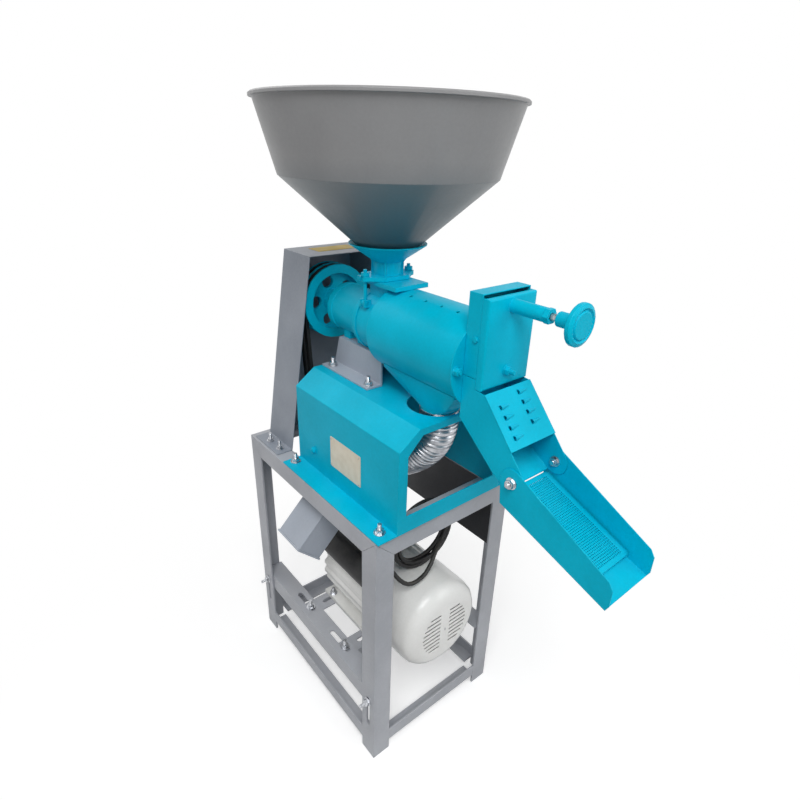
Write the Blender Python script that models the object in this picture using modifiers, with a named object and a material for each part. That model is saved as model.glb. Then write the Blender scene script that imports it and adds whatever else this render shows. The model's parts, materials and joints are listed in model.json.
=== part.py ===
"""A rice huller with its hopper and motor on an angle iron stand.

Lengths are in metres. X runs across the machine, Y along the main shaft with the rice outlet at the
low end, and Z up. Every shape is built about the centre of the stand, and one empty then moves the
whole machine along Y, so that the middle of its length lies over the origin.
"""

import math

import bmesh
import bpy
from mathutils import Matrix, Vector

# Clearance between pieces that touch, and how far a cutter runs past what it cuts
GAP = 0.0003
OVERRUN = 0.003

# Stand of angle iron
STAND_WIDTH = 0.330
STAND_DEPTH = 0.465
STAND_HEIGHT = 0.560
ANGLE_LEG = 0.040
ANGLE_WALL = 0.004
LOW_ANGLE_LEG = 0.030
LOW_RAIL_HEIGHT = 0.025
LEG_SLOT_LENGTH = 0.082
LEG_SLOT_WIDTH = 0.0095
LEG_SLOT_BELOW_BOLT = 0.029
PLATFORM_HEIGHT = 0.1775
PLATFORM_BOLT_DROP = 0.0225
SIDE_RAIL_CLEARANCE = 0.0015
RAIL_SLOT_LENGTH = 0.070
RAIL_SLOT_WIDTH = 0.011
RAIL_SLOT_FROM_BOLT = 0.0195
CROSS_SLOT_LENGTH = 0.060
PANEL_DROP = 0.176
PANEL_SHEET = 0.0015
PANEL_END_CLEARANCE = 0.002

# Bolts
BOLT_RADIUS = 0.004
BOLT_HOLE_RADIUS = 0.0046
NUT_RADIUS = 0.0074
NUT_HEIGHT = 0.0065
BOLT_END = 0.005

# Motor
MOTOR_SHAFT_HEIGHT = 0.2735
MOTOR_FRONT = 0.138
MOTOR_REAR = 0.052
MOTOR_FIN_RADIUS = 0.0965
MOTOR_ROOT_RADIUS = 0.0915
MOTOR_FIN_COUNT = 24
MOTOR_FIN_SHARES = (0, 0.25, 0.55, 0.8)
MOTOR_FOOT_SPAN = 0.171
MOTOR_FOOT_WIDTH = 0.034
MOTOR_FOOT_THICKNESS = 0.009
MOTOR_FOOT_REAR = 0.072
MOTOR_FOOT_FRONT = 0.112
MOTOR_BOLT_SPAN = 0.153
MOTOR_BOLT_REAR = 0.049
MOTOR_BOLT_FRONT = 0.092
MOTOR_SHIELD_LENGTH = 0.020
MOTOR_SHIELD_RADIUS = 0.080
MOTOR_BORE_RADIUS = 0.0165
MOTOR_SHAFT_RADIUS = 0.014
FAN_COVER_FACE = 0.2475
FAN_COVER_RADIUS = 0.098
FAN_COVER_SHEET = 0.002
FAN_COVER_CROWN = 0.030
FAN_GRILLE_RADIUS = 0.0655
FAN_SLOT_HEIGHT = 0.0048
FAN_SLOT_PITCH = 0.0105
FAN_SLOT_INNER = 0.012
FAN_SLOT_ROWS = 9
FAN_RADIUS = 0.075
FAN_BLADES = 7
FAN_BLADE_SHEET = 0.003
FAN_DEPTH = 0.030
FAN_HUB_RADIUS = 0.022
FAN_HUB_CLEARANCE = 0.004
FAN_SLOT_REACH_SHARE = 0.88
CAPACITOR_LENGTH = 0.150
CAPACITOR_WIDTH = 0.050
CAPACITOR_HEIGHT = 0.034
CAPACITOR_CENTRE = -0.035
CAPACITOR_ROUND = 0.012
CAPACITOR_ANGLE = math.radians(47)
TERMINAL_BOX_WIDTH = 0.080
TERMINAL_BOX_LENGTH = 0.075
TERMINAL_BOX_HEIGHT = 0.046
TERMINAL_BOX_CENTRE = -0.062
TERMINAL_BOX_X = -0.005
GLAND_RADIUS = 0.0085

# Belt drive
PULLEY_FRONT = 0.1225
PULLEY_WIDTH = 0.040
MAIN_PULLEY_RADIUS = 0.0745
MOTOR_PULLEY_RADIUS = 0.0395
GROOVE_PITCH = 0.019
GROOVE_TOP = 0.013
GROOVE_BOTTOM = 0.008
GROOVE_DEPTH = 0.010
BELT_DEPTH = 0.0075
BELT_INSET = 0.0006
BELT_STEPS = 14
PULLEY_RIM = 0.0075
PULLEY_WEB = 0.008
PULLEY_HUB_RADIUS = 0.023
PULLEY_HOLE_RADIUS = 0.0125
PULLEY_HOLES = 5
GUARD_FRONT = 0.118
GUARD_REAR = 0.218
GUARD_TOP = 0.960
GUARD_TOP_LEFT = 0.063
GUARD_TOP_RIGHT = 0.0935
GUARD_BASE_LEFT = 0.126
GUARD_BASE_RIGHT = 0.1235
GUARD_SHEET = 0.0015
GUARD_FOOT = 0.034
GUARD_BOLT_SHARES = (0.2, 0.62)

# Stand box under the huller
BOX_FRONT = 0.238
BOX_REAR = 0.085
BOX_HALF_WIDTH = 0.125
BOX_TOP_HALF_WIDTH = 0.083
BOX_SHOULDER = 0.723
BOX_TOP = 0.753
BOX_SHEET = 0.003
BOX_FLANGE_HALF_WIDTH = 0.1645
BOX_WINDOW_HALF_WIDTH = 0.106
BOX_CROSSBAR_TOP = 0.593
BOX_WINDOW_TOP = 0.740
BOX_BOLT_INSET = 0.021
BOX_FRONT_BOLT = 0.214
BOX_REAR_BOLT = 0.070
HOSE_HOLE_RADIUS = 0.050
HOSE_HOLE_Y = 0.181
PEDESTAL_REAR = 0.0815
PEDESTAL_REAR_TOP = 0.0645
PEDESTAL_FRONT = 0.070
PEDESTAL_TOP = 0.812
PEDESTAL_SHEET = 0.004
PEDESTAL_HALF_WIDTH = 0.035
PEDESTAL_FLANGE_HALF_WIDTH = 0.066
CRADLE_HALF_WIDTH = 0.0265
PEDESTAL_BOLT_INSET = 0.012
PEDESTAL_REAR_BOLT = 0.060
PEDESTAL_FRONT_BOLT = 0.058

# Main shaft and its bearings
SHAFT_HEIGHT = 0.864
SHAFT_RADIUS = 0.0125
SHAFT_REAR = 0.170
SHAFT_FRONT = 0.283
SHAFT_NUT_RADIUS = 0.018
SHAFT_NUT_LENGTH = 0.007
HOUSING_REAR = 0.088
HOUSING_FRONT = 0.022
HOUSING_RADIUS = 0.0450
HOUSING_COLLAR_RADIUS = 0.0468
HOUSING_COLLAR_LENGTH = 0.014
HOUSING_FLANGE_RADIUS = 0.058
HOUSING_FLANGE_LENGTH = 0.010
HOUSING_CORE_RADIUS = 0.022
BEARING_RADIUS = 0.026
BEARING_LENGTH = 0.015
BEARING_INSET = 0.006
BEARING_RING_SHARE = 1 / 3
SHIELD_RECESS_SHARE = 0.12
HOUSING_FOOT_LENGTH = 0.020
HOUSING_FOOT_HALF_WIDTH = 0.027
HOUSING_FOOT_HEIGHT = 0.020
HOUSING_FEET = (0.050, 0.005)
CAP_RADIUS = 0.040
CAP_LENGTH = 0.004

# Huller head
CASTING_RADIUS = 0.056
CASTING_LENGTH = 0.051
CASTING_REAR_WALL = 0.004
SPIGOT_RADIUS = 0.044
SPIGOT_LENGTH = 0.010
SCREW_CHAMBER_RADIUS = 0.030
SCREW_RADIUS = 0.0275
SCREW_ROOT_RADIUS = 0.018
SCREW_STARTS = 2
SCREW_TURNS = 1.6
SCREW_LENGTH = 0.080
SCREW_STEPS = 28
SCREW_RIB_SHARE = 0.25
ROLLER_RADIUS = 0.0305
ROLLER_ROOT_RADIUS = 0.0265
ROLLER_RIBS = 4
ROLLER_TURNS = 0.12
ROLLER_STEPS = 8
ROLLER_RIB_SHARE = 0.2
RIB_CORNER_SHARES = (0, 0.25, 0.75, 1)
ROOT_POINT_SHARES = (0.25, 0.5, 0.75)
SCREEN_RADIUS = 0.0370
SCREEN_SHEET = 0.0015
SCREEN_FLANGE = 0.007
SCREEN_SLOT_LENGTH = 0.036
SCREEN_SLOT_WIDTH = 0.002
SCREEN_SLOT_PITCH = 0.048
SCREEN_SLOT_ANGLES = (math.radians(-38), 0, math.radians(38))
PAD_HALF_WIDTH = 0.036
PAD_FRONT = 0.108
PAD_REAR = 0.002
PAD_BOTTOM = 0.9363
PAD_TOP = 0.944
THROAT_RADIUS = 0.019
THROAT_WALL = 0.006
LUG_THICKNESS = 0.004
LUG_ROOT_SHARE = 0.72
DRUM_REAR = 0.0755
DRUM_FRONT = 0.2836
DRUM_RADIUS = 0.072
DRUM_SHEET = 0.002
AIR_HOLE_RADIUS = 0.0028
AIR_HOLE_ANGLE = math.radians(16)
AIR_HOLE_FIRST = 0.129
AIR_HOLE_PITCH = 0.0365
AIR_HOLES = 4
DISC_RADIUS = 0.0745
DISC_THICKNESS = 0.0034
OUTLET_RADIUS = 0.031
DISC_BOLT_OFFSET = 0.0648
DISC_LUG = 0.010
DISC_LUG_INNER = 0.058
DISC_BOLT_RADIUS = 0.003

# Bran outlet, hose and duct
FUNNEL_HALF_WIDTH = 0.050
FUNNEL_REAR = 0.0976
FUNNEL_FRONT = 0.272
FUNNEL_SHEET = 0.0015
FUNNEL_SKIRT = 0.8066
FUNNEL_ROUND_TOP = 0.754
HOSE_AXIS = 0.192
SPIGOT_END = 0.7385
BRAN_SPIGOT_RADIUS = 0.0335
HOSE_RADIUS = 0.0355
HOSE_STEPS = 20
HOSE_STRAIGHT = 0.006
HOSE_TOP_REACH = 0.125
HOSE_DUCT_REACH = 0.080
CLAMP_WIDTH = 0.013
CLAMP_SHEET = 0.0012
DUCT_WIDTH = 0.080
DUCT_HEIGHT = 0.0627
DUCT_LENGTH = 0.135
DUCT_SHEET = 0.002
DUCT_LIP = 0.004
DUCT_CENTRE_Y = 0.0128
DUCT_MOUTH_X = 0.1794
DUCT_MOUTH_Z = 0.4036
DUCT_COLLAR_LENGTH = 0.022
DUCT_COLLAR_INSET = 0.0035
DUCT_STRAP_WIDTH = 0.030
DUCT_STRAP_X = 0.130

# Feed funnel and hopper
HOPPER_AXIS = 0.0396
FEED_FLANGE_THICKNESS = 0.0075
FEED_FLANGE_HALF_LENGTH = 0.047
FEED_FLANGE_HALF_WIDTH = 0.030
FEED_EAR_RADIUS = 0.0105
FEED_NECK_RADIUS = 0.0245
FEED_NECK_TOP = 0.9732
FEED_RIM_RADIUS = 0.068
FEED_RIM_HEIGHT = 1.0044
FEED_WALL = 0.0035
FEED_RIB = 0.004
FEED_RIBS = 4
FEED_RIB_RISE_SHARE = 1 / 3
EYE_BOLT_RADIUS = 0.0032
EYE_RADIUS = 0.0066
EYE_HEIGHT = 0.905
EYE_X = 0.0480
EYE_PIN_RADIUS = 0.0022
EYE_THICKNESS = 0.007
HOPPER_OUTLET_RADIUS = 0.0465
HOPPER_CONE_TOP = 1.110
HOPPER_SHOULDER_RADIUS = 0.1796
HOPPER_CONE_SLOPE = 0.8746
HOPPER_RIM_HEIGHT = 1.2225
HOPPER_WALL_TOP_RADIUS = 0.2100
HOPPER_RIM_RADIUS = 0.2152
HOPPER_SHEET = 0.0015
HOPPER_LIP_DEPTH = 0.006
HOPPER_LIP_CROWN_SHARE = 1 / 3

# Rice outlet box, its door and the pressure gear
OUTLET_HALF_WIDTH = 0.050
OUTLET_DEPTH = 0.0255
OUTLET_TOP = 0.980
OUTLET_BOTTOM = 0.856
OUTLET_BACK_BOTTOM = 0.829
OUTLET_SHEET = 0.002
DOOR_DEPTH = 0.0129
DOOR_TOP = 0.975
DOOR_BOTTOM = 0.8405
DOOR_HALF_WIDTH = 0.0503
DOOR_SHEET = 0.0018
DOOR_ROUND = 0.0035
DOOR_SLOT = 0.003
GATE_PIN_HEIGHT = 0.9147
GATE_PIN_RADIUS = 0.0029
GATE_PIN_DEPTH = 0.0063
GATE_BORE_RADIUS = 0.0032
GATE_KNUCKLE_RADIUS = 0.0052
GATE_SHEET = 0.0025
GATE_HALF_WIDTH = 0.036
GATE_BEND = 0.900
GATE_TAIL_TOP = 0.968
GATE_JOG_SHARE = 0.25
TUBE_HEIGHT = 0.9605
TUBE_RADIUS = 0.0103
TUBE_BORE_RADIUS = 0.0078
TUBE_END = 0.382
LOCK_NUT_RADIUS = 0.0115
LOCK_NUT_LENGTH = 0.008
ROD_RADIUS = 0.005
SPRING_RADIUS = 0.0058
SPRING_WIRE = 0.0007
SPRING_COILS = 5
SPRING_POINTS = 7
SEAT_LENGTH = 0.003
SEAT_RADIUS = 0.0072
SPRING_END = 0.3335
KNOB_HUB_START = 0.402
KNOB_HUB_END = 0.427
KNOB_HUB_RADIUS = 0.0104
KNOB_RADIUS = 0.0289
KNOB_RIM = 0.0060
KNOB_FACE_RADIUS = 0.0200
KNOB_THICKNESS = 0.012
KNOB_CORNER_SHARE = 0.25
KNOB_BEAD_SHARE = 1 / 3
STUD_HEIGHT = 0.8636
STUD_RADIUS = 0.0045
STUD_SHANK_SHARE = 0.8

# Rice chutes
CHUTE_SHEET = 0.0015
CHUTE_HALF_WIDTH = 0.050
CHUTE_TOP = 0.8555
CHUTE_BACK_FOOT = 0.7856
LOUVRE_TOP_Y = 0.3318
LOUVRE_TOP_Z = 0.8384
LOUVRE_END_Y = 0.3912
LOUVRE_END_Z = 0.7711
LOUVRE_HALF_WIDTH = 0.0503
LOUVRE_ROWS = 4
LOUVRE_PITCH = 0.0160
LOUVRE_LENGTH = 0.019
LOUVRE_RADIUS = 0.0042
LOUVRE_LEFT = 0.033
LOUVRE_RIGHT = 0.014
LOUVRE_START_SHARES = (0.28, 0.14)
LOUVRE_TIP_SHARE = 0.25
LOUVRE_HOLLOW_SHARE = 0.75
LOUVRE_MOUTH_SHARE = 1 / 3
CHUTE_FLOOR_Y = 0.3626
CHUTE_FLOOR_Z = 0.7239
PIVOT_Y = 0.4009
PIVOT_Z = 0.7274
CHUTE_END_RADIUS = 0.0217
CHUTE_LIP_Y = 0.3905
CHUTE_LIP_Z = 0.7078
TRAY_INSIDE = 0.0507
TRAY_HEEL_Y = 0.3837
TRAY_HEEL_Z = 0.6841
TRAY_TIP_Y = 0.5755
TRAY_TIP_TOP = 0.6655
TRAY_TIP_CORNER = 0.0070
TRAY_TIP_BOTTOM = 0.6325
TRAY_LIP_Y = 0.5714
TRAY_LIP_Z = 0.6236
SIEVE_HALF_WIDTH = 0.048
SIEVE_BACK_Y = 0.3959
SIEVE_BACK_Z = 0.7004
SIEVE_FRONT_Y = 0.5414
SIEVE_FRONT_Z = 0.6446
SIEVE_ROWS = 13
SIEVE_COLUMNS = 3
SIEVE_SLOT_SHARE = 0.45
SIEVE_BAR_SHARE = 0.85
PIVOT_BOLT_RADIUS = 0.0038
PIVOT_HOLE_RADIUS = 0.0042

# Mains lead, kept as a coil that stands on the motor
CORD_RADIUS = 0.00425
COIL_RADIUS = 0.066
COIL_SECTION = 0.013
COIL_SINK = 0.0009
COIL_X = 0.010
COIL_Y = 0.155
PLUG_WIDTH = 0.030
PLUG_DEPTH = 0.020
PLUG_HEIGHT = 0.032
PLUG_X = -0.003
PLUG_SEAT = 0.0088
CORD_POINTS = 26
CORD_ROUTE = (
    (-0.0650, -0.0620, 0.3975),
    (-0.0785, -0.0620, 0.3975),
    (-0.0880, -0.0860, 0.4130),
    (-0.0880, -0.1200, 0.4270),
    (-0.0870, -0.1500, 0.4290),
    (-0.0840, -0.1740, 0.4200),
    (-0.0740, -0.1880, 0.4000),
    (-0.0560, -0.1940, 0.3830),
    (-0.0350, -0.1950, 0.3790),
    (-0.0120, -0.1930, 0.3830),
    (0.0080, -0.1880, 0.3950),
    (0.0240, -0.1800, 0.4060),
    (0.0380, -0.1726, 0.4100),
)

# Facets round a circle, and along shorter curves
FINE_STEPS = 44
ROUND_STEPS = 28
MEDIUM_STEPS = 24
TUBE_STEPS = 20
SMALL_STEPS = 12
TINY_STEPS = 8
HEX_STEPS = 6
HALF_SHELL_STEPS = 16
ROUND_END_STEPS = 8
EAR_STEPS = 6
CORNER_STEPS = 4
DOOR_ROUND_STEPS = 3
ROUTE_STEPS = 8

# Rounds of a curve's bevel: a wire, the lead and the hose
WIRE_ROUNDS = 1
CORD_ROUNDS = 2
HOSE_ROUNDS = 4

# Points closer than this are one, points closer than that to a plane are on it
WELD_DISTANCE = GAP / 100
PLANE_DISTANCE = GAP / 1000
SMOOTH_ANGLE = math.radians(30)

# Places worked out from the sizes above
SHAFT_AXIS = (0, SHAFT_HEIGHT)
MOTOR_AXIS = (0, MOTOR_SHAFT_HEIGHT)
DISCHARGE_FRONT = DRUM_FRONT + DISC_THICKNESS + GAP + OUTLET_DEPTH
HALF_W = STAND_WIDTH / 2
HALF_D = STAND_DEPTH / 2
PLATFORM_BOLT_Z = PLATFORM_HEIGHT - PLATFORM_BOLT_DROP
SIDE_RAIL_X = HALF_W - ANGLE_WALL - GAP
RAIL_BOLT_X = SIDE_RAIL_X - ANGLE_LEG / 2 - BOLT_RADIUS / 2
CROSS_RAIL_TOP = PLATFORM_HEIGHT - ANGLE_WALL - GAP
MITRE_GAP = GAP / 2 / math.sqrt(2)

FINISHES = {
    "frame_paint": ((0.29, 0.30, 0.33), 0.45, 0.0),
    "guard_paint": ((0.22, 0.24, 0.28), 0.45, 0.0),
    "panel_paint": ((0.02, 0.02, 0.025), 0.5, 0.0),
    "teal_paint": ((0.0, 0.42, 0.58), 0.35, 0.0),
    "hopper_steel": ((0.16, 0.165, 0.18), 0.4, 0.4),
    "motor_paint": ((0.62, 0.62, 0.57), 0.45, 0.0),
    "black_plastic": ((0.012, 0.012, 0.014), 0.5, 0.0),
    "zinc": ((0.62, 0.63, 0.65), 0.3, 1.0),
    "machined_steel": ((0.5, 0.5, 0.52), 0.3, 1.0),
    "cast_iron": ((0.13, 0.13, 0.14), 0.6, 0.7),
    "hose_foil": ((0.72, 0.70, 0.68), 0.3, 0.9),
    "black_rubber": ((0.01, 0.01, 0.011), 0.6, 0.0),
    "cream_plastic": ((0.70, 0.66, 0.42), 0.4, 0.0),
}

SIDES = (-1, 1)


def clear_scene():
    for obj in list(bpy.data.objects):
        bpy.data.objects.remove(obj, do_unlink=True)


def collection(name):
    made = bpy.data.collections.new(name)
    bpy.context.scene.collection.children.link(made)
    return made


def material(name):
    """The Principled material of one of the FINISHES, made once."""
    if name in bpy.data.materials:
        return bpy.data.materials[name]
    color, roughness, metallic = FINISHES[name]
    made = bpy.data.materials.new(name)
    made.use_nodes = True
    shader = made.node_tree.nodes["Principled BSDF"]
    shader.inputs["Base Color"].default_value = (*color, 1)
    shader.inputs["Roughness"].default_value = roughness
    shader.inputs["Metallic"].default_value = metallic
    return made


clear_scene()
PARTS = collection("rice_huller")
CUTTERS = collection("cutters")


def new_object(name, mesh):
    """A helper shape. It stays with the cutters until finish() makes it a part."""
    obj = bpy.data.objects.new(name, mesh)
    CUTTERS.objects.link(obj)
    obj.hide_render = True
    obj.display_type = "WIRE"
    return obj


def from_bmesh(name, shape):
    mesh = bpy.data.meshes.new(name)
    bmesh.ops.recalc_face_normals(shape, faces=shape.faces[:])
    shape.to_mesh(mesh)
    shape.free()
    return new_object(name, mesh)


def box(low, high):
    """A box between two corners."""
    shape = bmesh.new()
    size = [b - a for a, b in zip(low, high)]
    middle = [(a + b) / 2 for a, b in zip(low, high)]
    bmesh.ops.create_cube(shape, size=1, matrix=Matrix.Translation(middle) @ Matrix.Diagonal((*size, 1)))
    return from_bmesh("box", shape)


def rod(radius, start, end, steps=SMALL_STEPS, end_radius=None):
    """A cylinder, or a cone, between two points."""
    start, end = Vector(start), Vector(end)
    turn = (end - start).to_track_quat("Z", "Y").to_matrix().to_4x4()
    place = Matrix.Translation((start + end) / 2) @ turn
    shape = bmesh.new()
    top = radius if end_radius is None else end_radius
    length = (end - start).length
    bmesh.ops.create_cone(
        shape, cap_ends=True, segments=steps, radius1=radius, radius2=top, depth=length, matrix=place
    )
    return from_bmesh("rod", shape)


def solid_mesh(obj):
    """The object's evaluated mesh in world space, welded."""
    bpy.context.view_layer.update()
    graph = bpy.context.evaluated_depsgraph_get()
    mesh = bpy.data.meshes.new_from_object(obj.evaluated_get(graph))
    mesh.transform(obj.matrix_world)
    shape = bmesh.new()
    shape.from_mesh(mesh)
    bmesh.ops.remove_doubles(shape, verts=shape.verts[:], dist=WELD_DISTANCE)
    shape.to_mesh(mesh)
    shape.free()
    return mesh


def to_mesh_object(obj):
    """The object as a plain mesh object, with its modifiers or its curve worked out."""
    made = new_object(obj.name, solid_mesh(obj))
    bpy.data.objects.remove(obj, do_unlink=True)
    return made


def gather(*pieces):
    """Separate solids as one object."""
    shape = bmesh.new()
    for piece in pieces:
        shape.from_mesh(solid_mesh(piece))
        bpy.data.objects.remove(piece, do_unlink=True)
    mesh = bpy.data.meshes.new("group")
    shape.to_mesh(mesh)
    shape.free()
    return new_object("group", mesh)


def flat_place(axis, low, high):
    """The matrix that lays a flat outline, thickened along its own Z, across an axis between two places."""
    middle = (low + high) / 2
    if axis == "X":
        return Matrix(((0, 0, 1, middle), (1, 0, 0, 0), (0, 1, 0, 0), (0, 0, 0, 1)))
    if axis == "Y":
        return Matrix(((1, 0, 0, 0), (0, 0, -1, middle), (0, 1, 0, 0), (0, 0, 0, 1)))
    return Matrix.Translation((0, 0, middle))


def plate(axis, low, high, outline, *holes):
    """A flat outline, with any holes, thickened from low to high along an axis.

    Its points are (y, z) across X, (x, z) across Y and (x, y) across Z.
    """
    curve = bpy.data.curves.new("outline", "CURVE")
    curve.dimensions = "2D"
    curve.fill_mode = "BOTH"
    curve.extrude = (high - low) / 2
    for points in (outline, *holes):
        spline = curve.splines.new("POLY")
        spline.points.add(len(points) - 1)
        for point, place in zip(spline.points, points):
            point.co = (*place, 0, 1)
        spline.use_cyclic_u = True
    obj = bpy.data.objects.new("plate", curve)
    CUTTERS.objects.link(obj)
    obj.matrix_world = flat_place(axis, low, high)
    made = to_mesh_object(obj)
    shape = bmesh.new()
    shape.from_mesh(made.data)
    bmesh.ops.recalc_face_normals(shape, faces=shape.faces[:])
    shape.to_mesh(made.data)
    shape.free()
    return made


def around(centre, radius, turn):
    """The point of a circle at an angle in radians."""
    return centre[0] + radius * math.cos(turn), centre[1] + radius * math.sin(turn)


def arc(centre, radius, start, end, steps):
    """Points round a circle from one angle to another, both ends included."""
    return [around(centre, radius, start + (end - start) * step / steps) for step in range(steps + 1)]


def circle(centre, radius, steps=SMALL_STEPS):
    return arc(centre, radius, 0, math.tau, steps)[:-1]


def slot_outline(centre, length, width, along):
    """A slot with round ends, its length along the outline's first or second direction."""
    reach = (length - width) / 2
    x, y = centre
    if along == 0:
        first = arc((x + reach, y), width / 2, -math.pi / 2, math.pi / 2, CORNER_STEPS)
        return first + arc((x - reach, y), width / 2, math.pi / 2, 1.5 * math.pi, CORNER_STEPS)
    first = arc((x, y + reach), width / 2, 0, math.pi, CORNER_STEPS)
    return first + arc((x, y - reach), width / 2, math.pi, math.tau, CORNER_STEPS)


def lathe(profile, origin, axis="Y", steps=ROUND_STEPS):
    """Turns (radius, height) points about an axis through origin.

    The profile runs down its outer side from the top. Heights are places along the world axis. One that
    doesn't start and end on the axis is closed into a ring.
    """
    mesh = bpy.data.meshes.new("profile")
    shape = bmesh.new()
    points = [shape.verts.new((radius, 0, height)) for radius, height in profile]
    for first, second in zip(points, points[1:]):
        shape.edges.new((first, second))
    if profile[0][0] or profile[-1][0]:
        shape.edges.new((points[-1], points[0]))
    shape.to_mesh(mesh)
    shape.free()
    obj = new_object("turned", mesh)
    screw = obj.modifiers.new("turn", "SCREW")
    screw.steps = steps
    screw.render_steps = steps
    screw.use_merge_vertices = True
    screw.merge_threshold = WELD_DISTANCE
    if axis == "Y":
        place = Matrix.Translation((origin[0], 0, origin[1]))
        obj.matrix_world = place @ Matrix.Rotation(-math.pi / 2, 4, "X")
    else:
        obj.matrix_world = Matrix.Translation((origin[0], origin[1], 0))
    return to_mesh_object(obj)


def boolean(obj, other, operation):
    modifier = obj.modifiers.new(operation.lower(), "BOOLEAN")
    modifier.operation = operation
    modifier.object = other
    modifier.solver = "EXACT"


def cut(obj, *cutters):
    for cutter in cutters:
        boolean(obj, cutter, "DIFFERENCE")
    return obj


def fuse(obj, *others):
    for other in others:
        boolean(obj, other, "UNION")
    return obj


def finish(name, obj, finish_name, parent, smooth=True):
    """Makes a helper shape the named part."""
    CUTTERS.objects.unlink(obj)
    PARTS.objects.link(obj)
    obj.name = name
    obj.data.name = name
    obj.hide_render = False
    obj.display_type = "TEXTURED"
    obj.data.materials.clear()
    obj.data.materials.append(material(finish_name))
    if smooth:
        obj.data.shade_smooth()
        obj.data.set_sharp_from_angle(angle=SMOOTH_ANGLE)
    obj.parent = parent
    obj.matrix_parent_inverse = parent.matrix_world.inverted()
    return obj


def empty(name, place, parent=None):
    made = bpy.data.objects.new(name, None)
    PARTS.objects.link(made)
    made.empty_display_size = GAP
    made.location = place
    bpy.context.view_layer.update()
    if parent is not None:
        made.parent = parent
        made.matrix_parent_inverse = parent.matrix_world.inverted()
    return made


def cut_flat(obj, point, normal):
    """Cuts away what lies past a plane, on the side that its normal points to."""
    shape = bmesh.new()
    shape.from_mesh(obj.data)
    everything = shape.verts[:] + shape.edges[:] + shape.faces[:]
    bmesh.ops.bisect_plane(
        shape, geom=everything, dist=PLANE_DISTANCE, plane_co=point, plane_no=normal, clear_outer=True
    )
    open_edges = [edge for edge in shape.edges if edge.is_boundary]
    bmesh.ops.holes_fill(shape, edges=open_edges)
    bmesh.ops.recalc_face_normals(shape, faces=shape.faces[:])
    shape.to_mesh(obj.data)
    shape.free()
    return obj


def angle_outline(leg, wall, flip_x=1, flip_y=1):
    """An angle section with its outer corner at the origin and its flanges along both directions."""
    points = [(0, 0), (leg, 0), (leg, wall), (wall, wall), (wall, leg), (0, leg)]
    return [(x * flip_x, y * flip_y) for x, y in points]


def moved(points, shift):
    return [(x + shift[0], y + shift[1]) for x, y in points]


ROOT = empty("machine", (0, 0, 0))


def corner_planes(side, end, lift):
    """The two mitre planes at a top corner of the stand, as a point on both and their normals."""
    corner = Vector((side * HALF_W, end * HALF_D, STAND_HEIGHT + lift))
    return corner, (Vector((-side, 0, 1)).normalized(), Vector((0, -end, 1)).normalized())


def leg_angle(side, end):
    """One leg: an angle mitred at its top and slotted for the motor platform."""
    outline = moved(angle_outline(ANGLE_LEG, ANGLE_WALL, -side, -end), (side * HALF_W, end * HALF_D))
    leg = plate("Z", 0, STAND_HEIGHT, outline)
    corner, normals = corner_planes(side, end, -2 * MITRE_GAP)
    for normal in normals:
        cut_flat(leg, corner, normal)
    middle = PLATFORM_BOLT_Z - LEG_SLOT_BELOW_BOLT
    slot = slot_outline((end * (HALF_D - ANGLE_LEG / 2), middle), LEG_SLOT_LENGTH, LEG_SLOT_WIDTH, 1)
    inner, outer = sorted((side * (HALF_W - ANGLE_WALL - OVERRUN), side * (HALF_W + OVERRUN)))
    return cut(leg, plate("X", inner, outer, slot))


def build_side_frame(name, side):
    """Two legs with the low rail that is welded between them."""
    frame = leg_angle(side, -1)
    reach = HALF_D - ANGLE_LEG + OVERRUN
    outline = angle_outline(LOW_ANGLE_LEG, ANGLE_WALL, -side, 1)
    outline = moved(outline, (side * (HALF_W - GAP), LOW_RAIL_HEIGHT))
    fuse(frame, plate("Y", -reach, reach, outline), leg_angle(side, 1))
    finish(name, frame, "frame_paint", ROOT)


def build_top_frame():
    """The welded top of four angles, drilled for the stand box and the guard's feet."""
    low = STAND_HEIGHT - ANGLE_LEG
    under = STAND_HEIGHT - ANGLE_WALL
    frame = box((-HALF_W, -HALF_D, low), (HALF_W, HALF_D, STAND_HEIGHT))
    x, y = HALF_W - ANGLE_WALL, HALF_D - ANGLE_WALL
    cut(frame, box((-x, -y, low - OVERRUN), (x, y, under)))
    x, y = HALF_W - ANGLE_LEG, HALF_D - ANGLE_LEG
    cut(frame, box((-x, -y, under - OVERRUN), (x, y, STAND_HEIGHT + OVERRUN)))
    for side in SIDES:
        for end in SIDES:
            xs = sorted((side * (HALF_W - ANGLE_LEG - OVERRUN), side * (HALF_W + OVERRUN)))
            ys = sorted((end * (HALF_D - ANGLE_LEG - OVERRUN), end * (HALF_D + OVERRUN)))
            seat = box((xs[0], ys[0], low - OVERRUN), (xs[1], ys[1], STAND_HEIGHT))
            corner, normals = corner_planes(side, end, 2 * MITRE_GAP)
            for normal in normals:
                cut_flat(seat, corner, normal)
            cut(frame, seat)
        for y in (-BOX_FRONT_BOLT, BOX_REAR_BOLT, *guard_bolt_places()):
            x = side * stand_bolt_x()
            hole_top = (x, y, STAND_HEIGHT + OVERRUN)
            cut(frame, rod(BOLT_HOLE_RADIUS, (x, y, under - OVERRUN), hole_top, TINY_STEPS))
    finish("top_frame", frame, "frame_paint", ROOT)


def stand_bolt_x():
    return BOX_FLANGE_HALF_WIDTH - BOX_BOLT_INSET


def guard_bolt_places():
    depth = GUARD_REAR - GUARD_FRONT
    return (GUARD_FRONT + depth * GUARD_BOLT_SHARES[0], GUARD_FRONT + depth * GUARD_BOLT_SHARES[1])


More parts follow.
